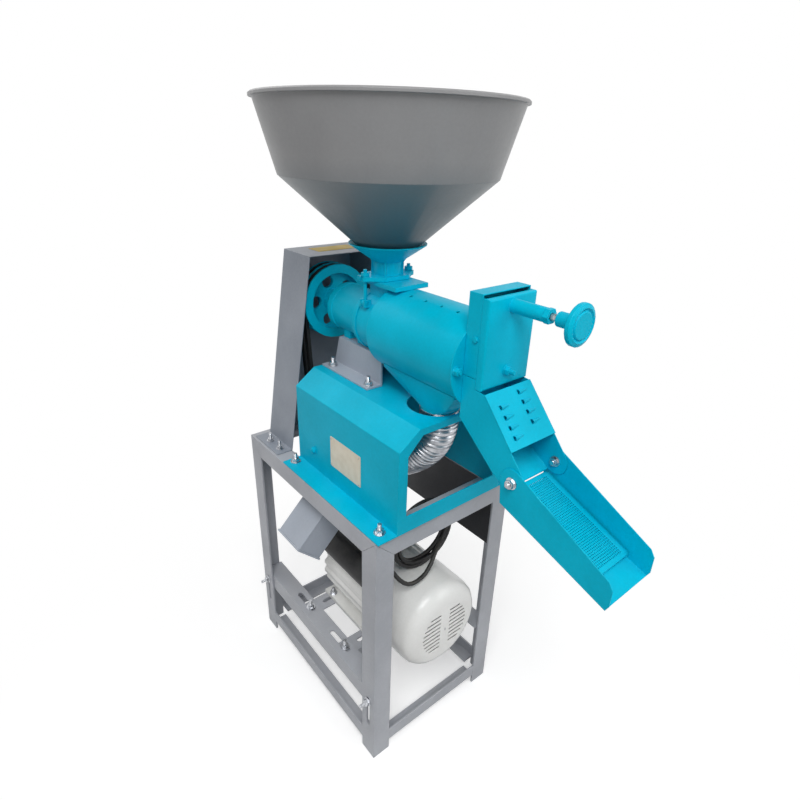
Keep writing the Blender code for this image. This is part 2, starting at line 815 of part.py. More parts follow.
def build_low_rails():
    """Two plain angles butted between the side frames, flush with their faces."""
    reach = HALF_W - ANGLE_LEG - GAP
    for end, name in zip(SIDES, ("low_rail_front", "low_rail_rear")):
        outline = moved(angle_outline(LOW_ANGLE_LEG, ANGLE_WALL, -end, 1), (end * HALF_D, LOW_RAIL_HEIGHT))
        finish(name, plate("X", -reach, reach, outline), "frame_paint", ROOT)


def rail_slot_centre(bolt_y):
    return bolt_y + RAIL_SLOT_FROM_BOLT


def build_motor_platform():
    """Two side rails bolted in the legs' slots, and two slotted cross rails hung under their tops."""
    bolts_y = (MOTOR_BOLT_REAR, -MOTOR_BOLT_FRONT)
    reach = HALF_D - ANGLE_WALL - SIDE_RAIL_CLEARANCE
    for side, name in zip(SIDES, ("motor_rail_left", "motor_rail_right")):
        outline = angle_outline(ANGLE_LEG, ANGLE_WALL, -side, -1)
        rail = plate("Y", -reach, reach, moved(outline, (side * SIDE_RAIL_X, PLATFORM_HEIGHT)))
        for y in bolts_y:
            slot_middle = (side * RAIL_BOLT_X, rail_slot_centre(y))
            slot = slot_outline(slot_middle, RAIL_SLOT_LENGTH, RAIL_SLOT_WIDTH, 1)
            cut(rail, plate("Z", PLATFORM_HEIGHT - ANGLE_WALL - OVERRUN, PLATFORM_HEIGHT + OVERRUN, slot))
        for end in SIDES:
            y = end * (HALF_D - ANGLE_LEG / 2)
            inner = (side * (SIDE_RAIL_X - ANGLE_WALL - OVERRUN), y, PLATFORM_BOLT_Z)
            cut(rail, rod(BOLT_HOLE_RADIUS, inner, (side * HALF_W, y, PLATFORM_BOLT_Z), TINY_STEPS))
        finish(name, rail, "frame_paint", ROOT)
    reach = SIDE_RAIL_X - ANGLE_WALL - GAP
    for end, y, name in zip((1, -1), bolts_y, ("cross_rail_rear", "cross_rail_front")):
        corner = (y + end * ANGLE_LEG / 2, CROSS_RAIL_TOP)
        rail = plate("X", -reach, reach, moved(angle_outline(ANGLE_LEG, ANGLE_WALL, -end, -1), corner))
        low, high = CROSS_RAIL_TOP - ANGLE_WALL - OVERRUN, CROSS_RAIL_TOP + OVERRUN
        for side in SIDES:
            x = side * RAIL_BOLT_X
            cut(rail, rod(BOLT_HOLE_RADIUS, (x, y, low), (x, y, high), TINY_STEPS))
            slot = slot_outline((side * MOTOR_BOLT_SPAN / 2, y), CROSS_SLOT_LENGTH, LEG_SLOT_WIDTH, 0)
            cut(rail, plate("Z", low, high, slot))
        finish(name, rail, "frame_paint", ROOT)


def build_side_panel():
    """A plain sheet inside the right top rail, welded to it along its top."""
    reach = HALF_D - ANGLE_WALL - PANEL_END_CLEARANCE
    top = STAND_HEIGHT - ANGLE_WALL - GAP
    outer = HALF_W - ANGLE_WALL - GAP
    low = (outer - PANEL_SHEET, -reach, top - PANEL_DROP)
    finish("side_panel", box(low, (outer, reach, top)), "panel_paint", ROOT, smooth=False)


def box_outline(inset, low):
    """The stand box's section, without its flanges, inset by a sheet's thickness."""
    side = BOX_HALF_WIDTH - inset
    slope = math.atan2(BOX_TOP - BOX_SHOULDER, BOX_HALF_WIDTH - BOX_TOP_HALF_WIDTH)
    shoulder = BOX_SHOULDER - inset * math.tan(slope / 2)
    shoulder_in = BOX_TOP_HALF_WIDTH - inset * math.tan(slope / 2)
    top = BOX_TOP - inset
    half = [(side, low), (side, shoulder), (shoulder_in, top)]
    return half + [(-x, z) for x, z in reversed(half)]


def build_stand_box():
    """A folded sheet box: chamfered shoulders, two bolted flanges, a framed open front and a hose hole."""
    base = STAND_HEIGHT + GAP
    flange_top = base + BOX_SHEET
    half = [(BOX_FLANGE_HALF_WIDTH, base), (BOX_FLANGE_HALF_WIDTH, flange_top), (BOX_HALF_WIDTH, flange_top)]
    half += box_outline(0, base)[1:3]
    shell = plate("Y", -BOX_FRONT, BOX_REAR, half + [(-x, z) for x, z in reversed(half)])
    inside = plate("Y", BOX_SHEET - BOX_FRONT, BOX_REAR - BOX_SHEET, box_outline(BOX_SHEET, base - OVERRUN))
    chamfer = BOX_TOP - BOX_SHOULDER
    half = [(BOX_WINDOW_HALF_WIDTH, BOX_CROSSBAR_TOP), (BOX_WINDOW_HALF_WIDTH, BOX_WINDOW_TOP - chamfer)]
    half += [(BOX_WINDOW_HALF_WIDTH - chamfer, BOX_WINDOW_TOP)]
    window_outline = half + [(-x, z) for x, z in reversed(half)]
    window = plate("Y", -BOX_FRONT - OVERRUN, BOX_SHEET + OVERRUN - BOX_FRONT, window_outline)
    hose_low = (0, -HOSE_HOLE_Y, BOX_TOP - BOX_SHEET - OVERRUN)
    hose = rod(HOSE_HOLE_RADIUS, hose_low, (0, -HOSE_HOLE_Y, BOX_TOP + OVERRUN), ROUND_STEPS)
    cut(shell, inside, window, hose)
    for side in SIDES:
        for y in (-BOX_FRONT_BOLT, BOX_REAR_BOLT):
            x = side * stand_bolt_x()
            cut(shell, rod(BOLT_HOLE_RADIUS, (x, y, base - OVERRUN), (x, y, flange_top + OVERRUN)))
        for y in (PEDESTAL_REAR_BOLT, -PEDESTAL_FRONT_BOLT):
            x = side * pedestal_bolt_x()
            hole_low = (x, y, BOX_TOP - BOX_SHEET - OVERRUN)
            cut(shell, rod(BOLT_HOLE_RADIUS, hole_low, (x, y, BOX_TOP + OVERRUN)))
    finish("stand_box", shell, "teal_paint", ROOT)


def pedestal_bolt_x():
    return PEDESTAL_FLANGE_HALF_WIDTH - PEDESTAL_BOLT_INSET


def build_pedestal():
    """A folded channel on two flanges, its rear edge leaning forwards."""
    base = BOX_TOP + GAP
    foot = base + PEDESTAL_SHEET
    outer = [(PEDESTAL_FLANGE_HALF_WIDTH, foot), (PEDESTAL_HALF_WIDTH, foot)]
    outer.append((PEDESTAL_HALF_WIDTH, PEDESTAL_TOP))
    inner_x = PEDESTAL_HALF_WIDTH - PEDESTAL_SHEET
    inner = [(inner_x, PEDESTAL_TOP - PEDESTAL_SHEET), (inner_x, base), (PEDESTAL_FLANGE_HALF_WIDTH, base)]
    outline = outer + [(-x, z) for x, z in reversed(outer)] + [(-x, z) for x, z in reversed(inner)] + inner
    channel = plate("Y", -PEDESTAL_FRONT, PEDESTAL_REAR, outline)
    beyond = PEDESTAL_REAR + OVERRUN
    wedge = [(PEDESTAL_REAR + GAP, foot + GAP), (beyond, foot + GAP), (beyond, PEDESTAL_TOP + OVERRUN)]
    wedge += [(PEDESTAL_REAR_TOP, PEDESTAL_TOP + OVERRUN)]
    reach = PEDESTAL_HALF_WIDTH + OVERRUN
    cradle_low = (-CRADLE_HALF_WIDTH, -PEDESTAL_FRONT - OVERRUN, PEDESTAL_TOP - PEDESTAL_SHEET - OVERRUN)
    cradle_rear = HOUSING_FLANGE_LENGTH - HOUSING_FRONT + GAP
    cradle = box(cradle_low, (CRADLE_HALF_WIDTH, cradle_rear, PEDESTAL_TOP + OVERRUN))
    cut(channel, plate("X", -reach, reach, wedge), cradle)
    for side in SIDES:
        for y in (PEDESTAL_REAR_BOLT, -PEDESTAL_FRONT_BOLT):
            x = side * pedestal_bolt_x()
            cut(channel, rod(BOLT_HOLE_RADIUS, (x, y, base - OVERRUN), (x, y, foot + OVERRUN)))
    finish("pedestal", channel, "guard_paint", ROOT)


def build_bearing_housing():
    """A turned casting with a bearing seat at each end, on two foot blocks."""
    seat = BEARING_RADIUS + GAP
    rear_seat = HOUSING_REAR - BEARING_INSET - BEARING_LENGTH - GAP
    front_seat = BEARING_INSET + BEARING_LENGTH + GAP - HOUSING_FRONT
    collar = HOUSING_REAR - HOUSING_COLLAR_LENGTH
    flange = HOUSING_FLANGE_LENGTH - HOUSING_FRONT
    profile = [(HOUSING_COLLAR_RADIUS, HOUSING_REAR), (HOUSING_COLLAR_RADIUS, collar)]
    profile += [(HOUSING_RADIUS, collar), (HOUSING_RADIUS, flange)]
    profile += [(HOUSING_FLANGE_RADIUS, flange), (HOUSING_FLANGE_RADIUS, -HOUSING_FRONT)]
    profile += [(seat, -HOUSING_FRONT), (seat, front_seat), (HOUSING_CORE_RADIUS, front_seat)]
    profile += [(HOUSING_CORE_RADIUS, rear_seat), (seat, rear_seat), (seat, HOUSING_REAR)]
    housing = lathe(profile, SHAFT_AXIS)
    low = PEDESTAL_TOP + GAP
    for y in HOUSING_FEET:
        foot = box(
            (-HOUSING_FOOT_HALF_WIDTH, y - HOUSING_FOOT_LENGTH / 2, low),
            (HOUSING_FOOT_HALF_WIDTH, y + HOUSING_FOOT_LENGTH / 2, low + HOUSING_FOOT_HEIGHT),
        )
        fuse(housing, foot)
    finish("bearing_housing", housing, "teal_paint", ROOT)


def build_rear_cap():
    """The cover that holds the rear bearing in its seat."""
    bore = SHAFT_RADIUS + 2 * GAP
    low = HOUSING_REAR + GAP
    high = low + CAP_LENGTH
    cap = lathe([(CAP_RADIUS, high), (CAP_RADIUS, low), (bore, low), (bore, high)], SHAFT_AXIS)
    finish("rear_cap", cap, "cast_iron", ROOT)


def build_bearings():
    """Two ball bearings, each an outer ring, an inner ring and the shield between them as one turned ring."""
    lows = (HOUSING_REAR - BEARING_INSET - BEARING_LENGTH, BEARING_INSET - HOUSING_FRONT)
    inner = SHAFT_RADIUS + GAP
    thickness = (BEARING_RADIUS - inner) * BEARING_RING_SHARE
    for low, name in zip(lows, ("rear_bearing", "front_bearing")):
        high = low + BEARING_LENGTH
        shield = low + BEARING_LENGTH * SHIELD_RECESS_SHARE
        outer_race, inner_race = BEARING_RADIUS - thickness, inner + thickness
        profile = [(BEARING_RADIUS, high), (BEARING_RADIUS, low), (outer_race, low), (outer_race, shield)]
        profile += [(inner_race, shield), (inner_race, low), (inner, low), (inner, high)]
        ring = lathe(profile, SHAFT_AXIS, steps=TUBE_STEPS)
        finish(name, ring, "machined_steel", ROOT)


def build_main_shaft(parent):
    """The shaft, with the round nut on its front end that holds the roller."""
    end = SHAFT_NUT_LENGTH + GAP - SHAFT_FRONT
    profile = [(0, SHAFT_REAR), (SHAFT_RADIUS, SHAFT_REAR), (SHAFT_RADIUS, end), (SHAFT_NUT_RADIUS, end)]
    profile += [(SHAFT_NUT_RADIUS, -SHAFT_FRONT), (0, -SHAFT_FRONT)]
    shaft = lathe(profile, SHAFT_AXIS, steps=MEDIUM_STEPS)
    finish("main_shaft", shaft, "machined_steel", parent)


def ribbed_body(rear, length, root, tip, ribs, rib_share, turns, steps):
    """A body whose ribs wind along the shaft: one section, pushed along step by step as it turns."""
    section = []
    pitch = math.tau / ribs
    rib_turn = pitch * rib_share
    for rib in range(ribs):
        start = rib * pitch
        for share, radius in zip(RIB_CORNER_SHARES, (root, tip, tip, root)):
            section.append((start + rib_turn * share, radius))
        for share in ROOT_POINT_SHARES:
            section.append((start + rib_turn + (pitch - rib_turn) * share, root))
    shape = bmesh.new()
    places = [around(SHAFT_AXIS, radius, angle) for angle, radius in section]
    ring = [shape.verts.new((x, rear, z)) for x, z in places]
    face = shape.faces.new(ring)
    turn = Matrix.Rotation(math.tau * turns / steps, 3, "Y")
    for step in range(steps):
        pushed = bmesh.ops.extrude_face_region(shape, geom=[face])["geom"]
        if step:
            bmesh.ops.delete(shape, geom=[face], context="FACES_ONLY")
        moving = [item for item in pushed if isinstance(item, bmesh.types.BMVert)]
        face = next(item for item in pushed if isinstance(item, bmesh.types.BMFace))
        bmesh.ops.rotate(shape, verts=moving, cent=(0, 0, SHAFT_HEIGHT), matrix=turn)
        bmesh.ops.translate(shape, verts=moving, vec=(0, -length / steps, 0))
    body = from_bmesh("ribbed body", shape)
    bore = SHAFT_RADIUS + GAP
    low, high = rear - length - OVERRUN, rear + OVERRUN
    cut(body, lathe([(0, high), (bore, high), (bore, low), (0, low)], SHAFT_AXIS, steps=MEDIUM_STEPS))
    return to_mesh_object(body)


def screw_rear():
    return -HOUSING_FRONT - CASTING_REAR_WALL - 4 * GAP


def build_feed_screw(parent):
    """Two flights that carry the paddy from the throat to the roller."""
    section = (SCREW_ROOT_RADIUS, SCREW_RADIUS, SCREW_STARTS, SCREW_RIB_SHARE)
    body = ribbed_body(screw_rear(), SCREW_LENGTH, *section, SCREW_TURNS, SCREW_STEPS)
    finish("feed_screw", body, "cast_iron", parent)


def build_huller_roller(parent):
    """The roller, whose slanted ribs rub the hulls off against the screens."""
    rear = screw_rear() - SCREW_LENGTH - GAP
    length = rear - (SHAFT_NUT_LENGTH + 2 * GAP - SHAFT_FRONT)
    section = (ROLLER_ROOT_RADIUS, ROLLER_RADIUS, ROLLER_RIBS, ROLLER_RIB_SHARE)
    body = ribbed_body(rear, length, *section, ROLLER_TURNS, ROLLER_STEPS)
    finish("huller_roller", body, "cast_iron", parent)


def casting_front():
    return -HOUSING_FRONT - GAP - CASTING_LENGTH


def build_feed_casting():
    """The feed end: a round body with a throat up to its pad, a spigot for the screens, and eye bolt lugs."""
    rear = -HOUSING_FRONT - GAP
    front = casting_front()
    bore = SHAFT_RADIUS + 2 * GAP
    wall = rear - CASTING_REAR_WALL
    profile = [(CASTING_RADIUS, rear), (CASTING_RADIUS, front), (SPIGOT_RADIUS, front)]
    profile += [(SPIGOT_RADIUS, front - SPIGOT_LENGTH), (SCREW_CHAMBER_RADIUS, front - SPIGOT_LENGTH)]
    profile += [(SCREW_CHAMBER_RADIUS, wall), (bore, wall), (bore, rear)]
    casting = lathe(profile, SHAFT_AXIS)
    pad = box((-PAD_HALF_WIDTH, -PAD_FRONT, PAD_BOTTOM), (PAD_HALF_WIDTH, PAD_REAR, PAD_TOP))
    reach = THROAT_RADIUS + THROAT_WALL
    riser_low = SHAFT_HEIGHT + CASTING_RADIUS - THROAT_WALL * 3
    riser = box((-reach, front + GAP, riser_low), (reach, rear - GAP, PAD_BOTTOM + GAP))
    fuse(casting, riser, pad)
    for side in SIDES:
        for end in SIDES:
            y = -HOPPER_AXIS + end * (EYE_THICKNESS / 2 + GAP + LUG_THICKNESS / 2)
            inner = side * (CASTING_RADIUS * LUG_ROOT_SHARE)
            outer = side * (EYE_X + EYE_RADIUS)
            low = (min(inner, outer), y - LUG_THICKNESS / 2, EYE_HEIGHT - EYE_RADIUS)
            fuse(casting, box(low, (max(inner, outer), y + LUG_THICKNESS / 2, EYE_HEIGHT + EYE_RADIUS)))
        start = (side * EYE_X, -HOPPER_AXIS - 2 * EYE_THICKNESS, EYE_HEIGHT)
        end = (side * EYE_X, -HOPPER_AXIS + 2 * EYE_THICKNESS, EYE_HEIGHT)
        cut(casting, rod(EYE_PIN_RADIUS + GAP, start, end, TINY_STEPS))
    top = (0, -HOPPER_AXIS, PAD_TOP + OVERRUN)
    cut(casting, rod(THROAT_RADIUS, (0, -HOPPER_AXIS, SHAFT_HEIGHT + SCREW_RADIUS / 2), top, MEDIUM_STEPS))
    finish("feed_casting", casting, "teal_paint", ROOT)


def build_drum_cover():
    """The round bran cover: rear wall, air holes, a bran opening below and a bolt lug at each side."""
    inner = DRUM_RADIUS - DRUM_SHEET
    collar = SPIGOT_RADIUS + GAP
    rear = -DRUM_REAR
    front = GAP - DRUM_FRONT
    profile = [(DRUM_RADIUS, rear), (DRUM_RADIUS, front), (inner, front), (inner, rear - DRUM_SHEET)]
    profile += [(collar, rear - DRUM_SHEET), (collar, rear)]
    drum = lathe(profile, SHAFT_AXIS, steps=FINE_STEPS)
    low, high = SHAFT_HEIGHT - DISC_LUG / 2, SHAFT_HEIGHT + DISC_LUG / 2
    for side in SIDES:
        ends = sorted((side * DISC_LUG_INNER, side * (inner + DRUM_SHEET / 2)))
        fuse(drum, box((ends[0], front, low), (ends[1], front + DISC_LUG, high)))
        x = side * DISC_BOLT_OFFSET
        hole_rear = (x, front + DISC_LUG + OVERRUN, SHAFT_HEIGHT)
        cut(drum, rod(DISC_BOLT_RADIUS + GAP, (x, front - OVERRUN, SHAFT_HEIGHT), hole_rear, TINY_STEPS))
    outward = Vector((-math.sin(AIR_HOLE_ANGLE), 0, math.cos(AIR_HOLE_ANGLE)))
    for number in range(AIR_HOLES):
        centre = Vector((0, -AIR_HOLE_FIRST - number * AIR_HOLE_PITCH, SHAFT_HEIGHT))
        start = centre + outward * (inner - OVERRUN)
        cut(drum, rod(AIR_HOLE_RADIUS, start, centre + outward * (DRUM_RADIUS + OVERRUN), TINY_STEPS))
    reach = FUNNEL_HALF_WIDTH - 4 * FUNNEL_SHEET
    low = (-reach, -FUNNEL_FRONT + 2 * FUNNEL_SHEET, SHAFT_HEIGHT - DRUM_RADIUS - OVERRUN)
    cut(drum, box(low, (reach, -FUNNEL_REAR - 2 * FUNNEL_SHEET, SHAFT_HEIGHT - SCREEN_RADIUS)))
    finish("drum_cover", drum, "teal_paint", ROOT)


def build_rice_screens():
    """Two slotted half shells round the roller, bolted together along their side flanges."""
    rear = casting_front() - SPIGOT_LENGTH - GAP
    front = 2 * GAP - DRUM_FRONT
    inner = SCREEN_RADIUS - SCREEN_SHEET
    for side, name in zip(SIDES, ("lower_screen", "upper_screen")):
        lift = GAP / SCREEN_RADIUS
        outer_arc = arc(SHAFT_AXIS, SCREEN_RADIUS, lift, math.pi - lift, HALF_SHELL_STEPS)
        inner_arc = arc(SHAFT_AXIS, inner, math.pi - GAP / inner, GAP / inner, HALF_SHELL_STEPS)
        reach = SCREEN_RADIUS + SCREEN_FLANGE
        low, high = SHAFT_HEIGHT + GAP / 2, SHAFT_HEIGHT + GAP / 2 + SCREEN_SHEET
        right = [(reach, low), (reach, high), (SCREEN_RADIUS, high)]
        left = [(-x, z) for x, z in reversed(right)]
        outline = right + outer_arc[2:-2] + left + inner_arc[1:-1]
        if side < 0:
            outline = [(x, 2 * SHAFT_HEIGHT - z) for x, z in outline]
        half = plate("Y", front, rear, outline)
        length = rear - front
        for row in range(int(length / SCREEN_SLOT_PITCH)):
            y = front + SCREEN_SLOT_PITCH * row + SCREEN_SLOT_LENGTH / 2 + SCREEN_SLOT_WIDTH
            for angle in SCREEN_SLOT_ANGLES:
                outward = Vector((math.sin(angle), 0, side * math.cos(angle)))
                slit = box(
                    (-SCREEN_SLOT_WIDTH / 2, -SCREEN_SLOT_LENGTH / 2, inner - OVERRUN / 2),
                    (SCREEN_SLOT_WIDTH / 2, SCREEN_SLOT_LENGTH / 2, SCREEN_RADIUS + OVERRUN / 2),
                )
                turn = outward.to_track_quat("Z", "Y").to_matrix().to_4x4()
                slit.data.transform(Matrix.Translation((0, y, SHAFT_HEIGHT)) @ turn)
                cut(half, slit)
        finish(name, half, "machined_steel", ROOT)


def build_end_disc():
    """The front disc with the rice outlet in its middle."""
    holes = [circle(SHAFT_AXIS, OUTLET_RADIUS, ROUND_STEPS)]
    for side in SIDES:
        holes.append(circle((side * DISC_BOLT_OFFSET, SHAFT_HEIGHT), DISC_BOLT_RADIUS + GAP, TINY_STEPS))
    low = -DRUM_FRONT - DISC_THICKNESS
    disc = plate("Y", low, -DRUM_FRONT, circle(SHAFT_AXIS, DISC_RADIUS, FINE_STEPS), *holes)
    finish("drum_end_disc", disc, "teal_paint", ROOT)


def disc_face():
    return -DRUM_FRONT - DISC_THICKNESS


def funnel_ring(share, inset):
    """One ring of the bran funnel, between a rectangle under the drum and a circle round the hose's axis."""
    points = []
    middle = (FUNNEL_REAR + FUNNEL_FRONT) / 2
    half_length = (FUNNEL_FRONT - FUNNEL_REAR) / 2 - inset
    half_width = FUNNEL_HALF_WIDTH - inset
    radius = BRAN_SPIGOT_RADIUS - inset
    for step in range(MEDIUM_STEPS):
        angle = math.tau * step / MEDIUM_STEPS
        c, s = math.cos(angle), math.sin(angle)
        reach = 1 / max(abs(c), abs(s))
        square = (half_width * c * reach, -middle + half_length * s * reach)
        round_point = (radius * c, -HOSE_AXIS + radius * s)
        points.append(tuple(a + (b - a) * share for a, b in zip(square, round_point)))
    return points


def build_bran_funnel():
    """A sheet funnel from the drum's rectangular bran opening to the round hose spigot."""
    levels = (
        (0, SHAFT_HEIGHT - SCREEN_RADIUS),
        (0, FUNNEL_SKIRT),
        (1, FUNNEL_ROUND_TOP),
        (1, SPIGOT_END),
    )
    shape = bmesh.new()
    loops = []
    for inset, order in ((0, levels), (FUNNEL_SHEET, levels[::-1])):
        for share, z in order:
            loops.append([shape.verts.new((x, y, z)) for x, y in funnel_ring(share, inset)])
    for first, second in zip(loops, loops[1:] + loops[:1]):
        for index in range(len(first)):
            after = (index + 1) % len(first)
            shape.faces.new((first[index], first[after], second[after], second[index]))
    funnel = from_bmesh("funnel", shape)
    outer = DRUM_RADIUS + GAP
    low, high = -FUNNEL_FRONT - OVERRUN, OVERRUN - FUNNEL_REAR
    clear = lathe([(0, high), (outer, high), (outer, low), (0, low)], SHAFT_AXIS, steps=FINE_STEPS)
    finish("bran_funnel", cut(funnel, clear), "teal_paint", ROOT)


def duct_direction():
    return Vector((-1, 0, -1)).normalized()


def duct_point(distance):
    """A place on the duct's middle line, measured back up from its mouth."""
    return Vector((-DUCT_MOUTH_X, DUCT_CENTRE_Y, DUCT_MOUTH_Z)) - duct_direction() * distance


def hose_path():
    """The hose's middle line: a smooth cubic between short straight ends at the spigot and the collar."""
    spigot = Vector((0, -HOSE_AXIS, SPIGOT_END - GAP))
    collar = duct_point(DUCT_LENGTH + DUCT_COLLAR_LENGTH + GAP)
    start = spigot - Vector((0, 0, HOSE_STRAIGHT))
    end = collar - duct_direction() * HOSE_STRAIGHT
    first = start - Vector((0, 0, HOSE_TOP_REACH))
    second = end - duct_direction() * HOSE_DUCT_REACH
    points = [spigot]
    for step in range(HOSE_STEPS + 1):
        t = step / HOSE_STEPS
        weights = ((1 - t) ** 3, 3 * t * (1 - t) ** 2, 3 * t * t * (1 - t), t**3)
        points.append(sum((w * p for w, p in zip(weights, (start, first, second, end))), Vector()))
    return points + [collar]


def tube(points, radius, rounds):
    """A round bar along points, as a curve with a bevel and filled caps."""
    curve = bpy.data.curves.new("tube", "CURVE")
    curve.dimensions = "3D"
    curve.bevel_depth = radius
    curve.bevel_resolution = rounds
    curve.use_fill_caps = True
    spline = curve.splines.new("POLY")
    spline.points.add(len(points) - 1)
    for point, place in zip(spline.points, points):
        point.co = (*place, 1)
    obj = bpy.data.objects.new("tube", curve)
    CUTTERS.objects.link(obj)
    return obj


def build_bran_hose():
    finish("bran_hose", to_mesh_object(tube(hose_path(), HOSE_RADIUS, HOSE_ROUNDS)), "hose_foil", ROOT)


def band(start, end, radius, sheet):
    """A short open ring between two points."""
    outer = rod(radius + sheet, start, end, MEDIUM_STEPS)
    along = (Vector(end) - Vector(start)).normalized() * OVERRUN
    return cut(outer, rod(radius, Vector(start) - along, Vector(end) + along, MEDIUM_STEPS))


def build_hose_clamp():
    """The worm drive clamp on the funnel's spigot, drawn as a plain band."""
    low = (0, -HOSE_AXIS, SPIGOT_END + GAP)
    high = (0, -HOSE_AXIS, SPIGOT_END + GAP + CLAMP_WIDTH)
    clamp = band(low, high, BRAN_SPIGOT_RADIUS + GAP, CLAMP_SHEET)
    finish("hose_clamp", clamp, "zinc", ROOT)


def duct_block(half_width, half_height, near, far):
    """A box along the duct's middle line, between two distances from its mouth."""
    block = box((-half_width, near, -half_height), (half_width, far, half_height))
    back = -duct_direction()
    across = Vector((0, 1, 0))
    up = across.cross(back)
    turn = Matrix((across, back, up)).transposed().to_4x4()
    block.data.transform(Matrix.Translation(duct_point(0)) @ turn)
    if turn.determinant() < 0:
        block.data.flip_normals()
    return block


def build_bran_duct():
    """A slanted square duct with a rim round its mouth, a hose collar, and a strap up to the top rail."""
    width, height = DUCT_WIDTH / 2, DUCT_HEIGHT / 2
    duct = duct_block(width, height, 0, DUCT_LENGTH)
    rim = duct_block(width + DUCT_SHEET, height + DUCT_SHEET, 0, DUCT_LIP)
    collar_radius = BRAN_SPIGOT_RADIUS - DUCT_COLLAR_INSET
    collar_end = duct_point(DUCT_LENGTH + DUCT_COLLAR_LENGTH)
    collar = rod(collar_radius, duct_point(DUCT_LENGTH - DUCT_SHEET), collar_end, MEDIUM_STEPS)
    top = STAND_HEIGHT - ANGLE_WALL - GAP
    reach = DUCT_STRAP_WIDTH / 2
    face = DUCT_MOUTH_Z + (DUCT_MOUTH_X - DUCT_STRAP_X) + height * math.sqrt(2)
    strap = box(
        (-DUCT_STRAP_X - DUCT_SHEET, DUCT_CENTRE_Y - reach, face - DUCT_SHEET * 2),
        (-DUCT_STRAP_X, DUCT_CENTRE_Y + reach, top),
    )
    tab_low = (-DUCT_STRAP_X - DUCT_STRAP_WIDTH, DUCT_CENTRE_Y - reach, top - DUCT_SHEET)
    tab = box(tab_low, (-DUCT_STRAP_X, DUCT_CENTRE_Y + reach, top))
    fuse(duct, rim, collar, strap, tab)
    bore_end = duct_point(DUCT_LENGTH + DUCT_COLLAR_LENGTH + OVERRUN)
    bore = rod(collar_radius - DUCT_SHEET, duct_point(DUCT_LENGTH / 2), bore_end, MEDIUM_STEPS)
    cut(duct, duct_block(width - DUCT_SHEET, height - DUCT_SHEET, -OVERRUN, DUCT_LENGTH - DUCT_SHEET), bore)
    finish("bran_duct", duct, "guard_paint", ROOT)


def build_feed_funnel():
    """A cast funnel on a round neck, with an eared flange and four ribs."""
    base = PAD_TOP + GAP
    flange_top = base + FEED_FLANGE_THICKNESS
    rise = FEED_RIM_HEIGHT - FEED_NECK_TOP
    inner_rim = FEED_RIM_RADIUS - FEED_WALL
    profile = [(FEED_RIM_RADIUS, FEED_RIM_HEIGHT), (FEED_RIM_RADIUS, FEED_RIM_HEIGHT - FEED_WALL / 2)]
    profile += [(FEED_NECK_RADIUS, FEED_NECK_TOP), (FEED_NECK_RADIUS, base)]
    profile += [(THROAT_RADIUS, base), (THROAT_RADIUS, FEED_NECK_TOP + FEED_WALL)]
    profile += [(inner_rim, FEED_RIM_HEIGHT)]
    funnel = lathe(profile, (0, -HOPPER_AXIS), "Z")
    quarter = math.pi / 2
    half = arc((FEED_FLANGE_HALF_LENGTH, 0), FEED_EAR_RADIUS, -quarter, quarter, EAR_STEPS)
    half += [(FEED_NECK_RADIUS, FEED_FLANGE_HALF_WIDTH), (-FEED_NECK_RADIUS, FEED_FLANGE_HALF_WIDTH)]
    outline = half + arc((-FEED_FLANGE_HALF_LENGTH, 0), FEED_EAR_RADIUS, quarter, 3 * quarter, EAR_STEPS)
    outline += [(-FEED_NECK_RADIUS, -FEED_FLANGE_HALF_WIDTH), (FEED_NECK_RADIUS, -FEED_FLANGE_HALF_WIDTH)]
    outline = moved(outline, (0, -HOPPER_AXIS))
    bore = circle((0, -HOPPER_AXIS), THROAT_RADIUS, ROUND_STEPS)
    flange = plate("Z", base, flange_top, outline, bore)
    slot_reach = EYE_BOLT_RADIUS + GAP
    for side in SIDES:
        inner = side * (EYE_X - slot_reach)
        outer = side * (FEED_FLANGE_HALF_LENGTH + FEED_EAR_RADIUS + OVERRUN)
        low = (min(inner, outer), -HOPPER_AXIS - slot_reach, base - OVERRUN)
        cut(flange, box(low, (max(inner, outer), slot_reach - HOPPER_AXIS, flange_top + OVERRUN)))
    fuse(funnel, to_mesh_object(flange))
    root, face = FEED_NECK_RADIUS - FEED_RIB / 2, FEED_NECK_RADIUS + FEED_RIB
    foot, head = base + FEED_FLANGE_THICKNESS / 2, FEED_NECK_TOP + rise * FEED_RIB_RISE_SHARE
    outline = [(root, foot), (face, foot), (face, FEED_NECK_TOP), (face + 2 * FEED_RIB, head)]
    outline += [(face + FEED_RIB, head), (root, FEED_NECK_TOP)]
    for number in range(FEED_RIBS):
        angle = math.tau * (number + 0.5) / FEED_RIBS
        rib = plate("Y", -FEED_RIB / 2, FEED_RIB / 2, outline)
        rib.data.transform(Matrix.Translation((0, -HOPPER_AXIS, 0)) @ Matrix.Rotation(angle, 4, "Z"))
        fuse(funnel, rib)
    finish("feed_funnel", funnel, "teal_paint", ROOT)


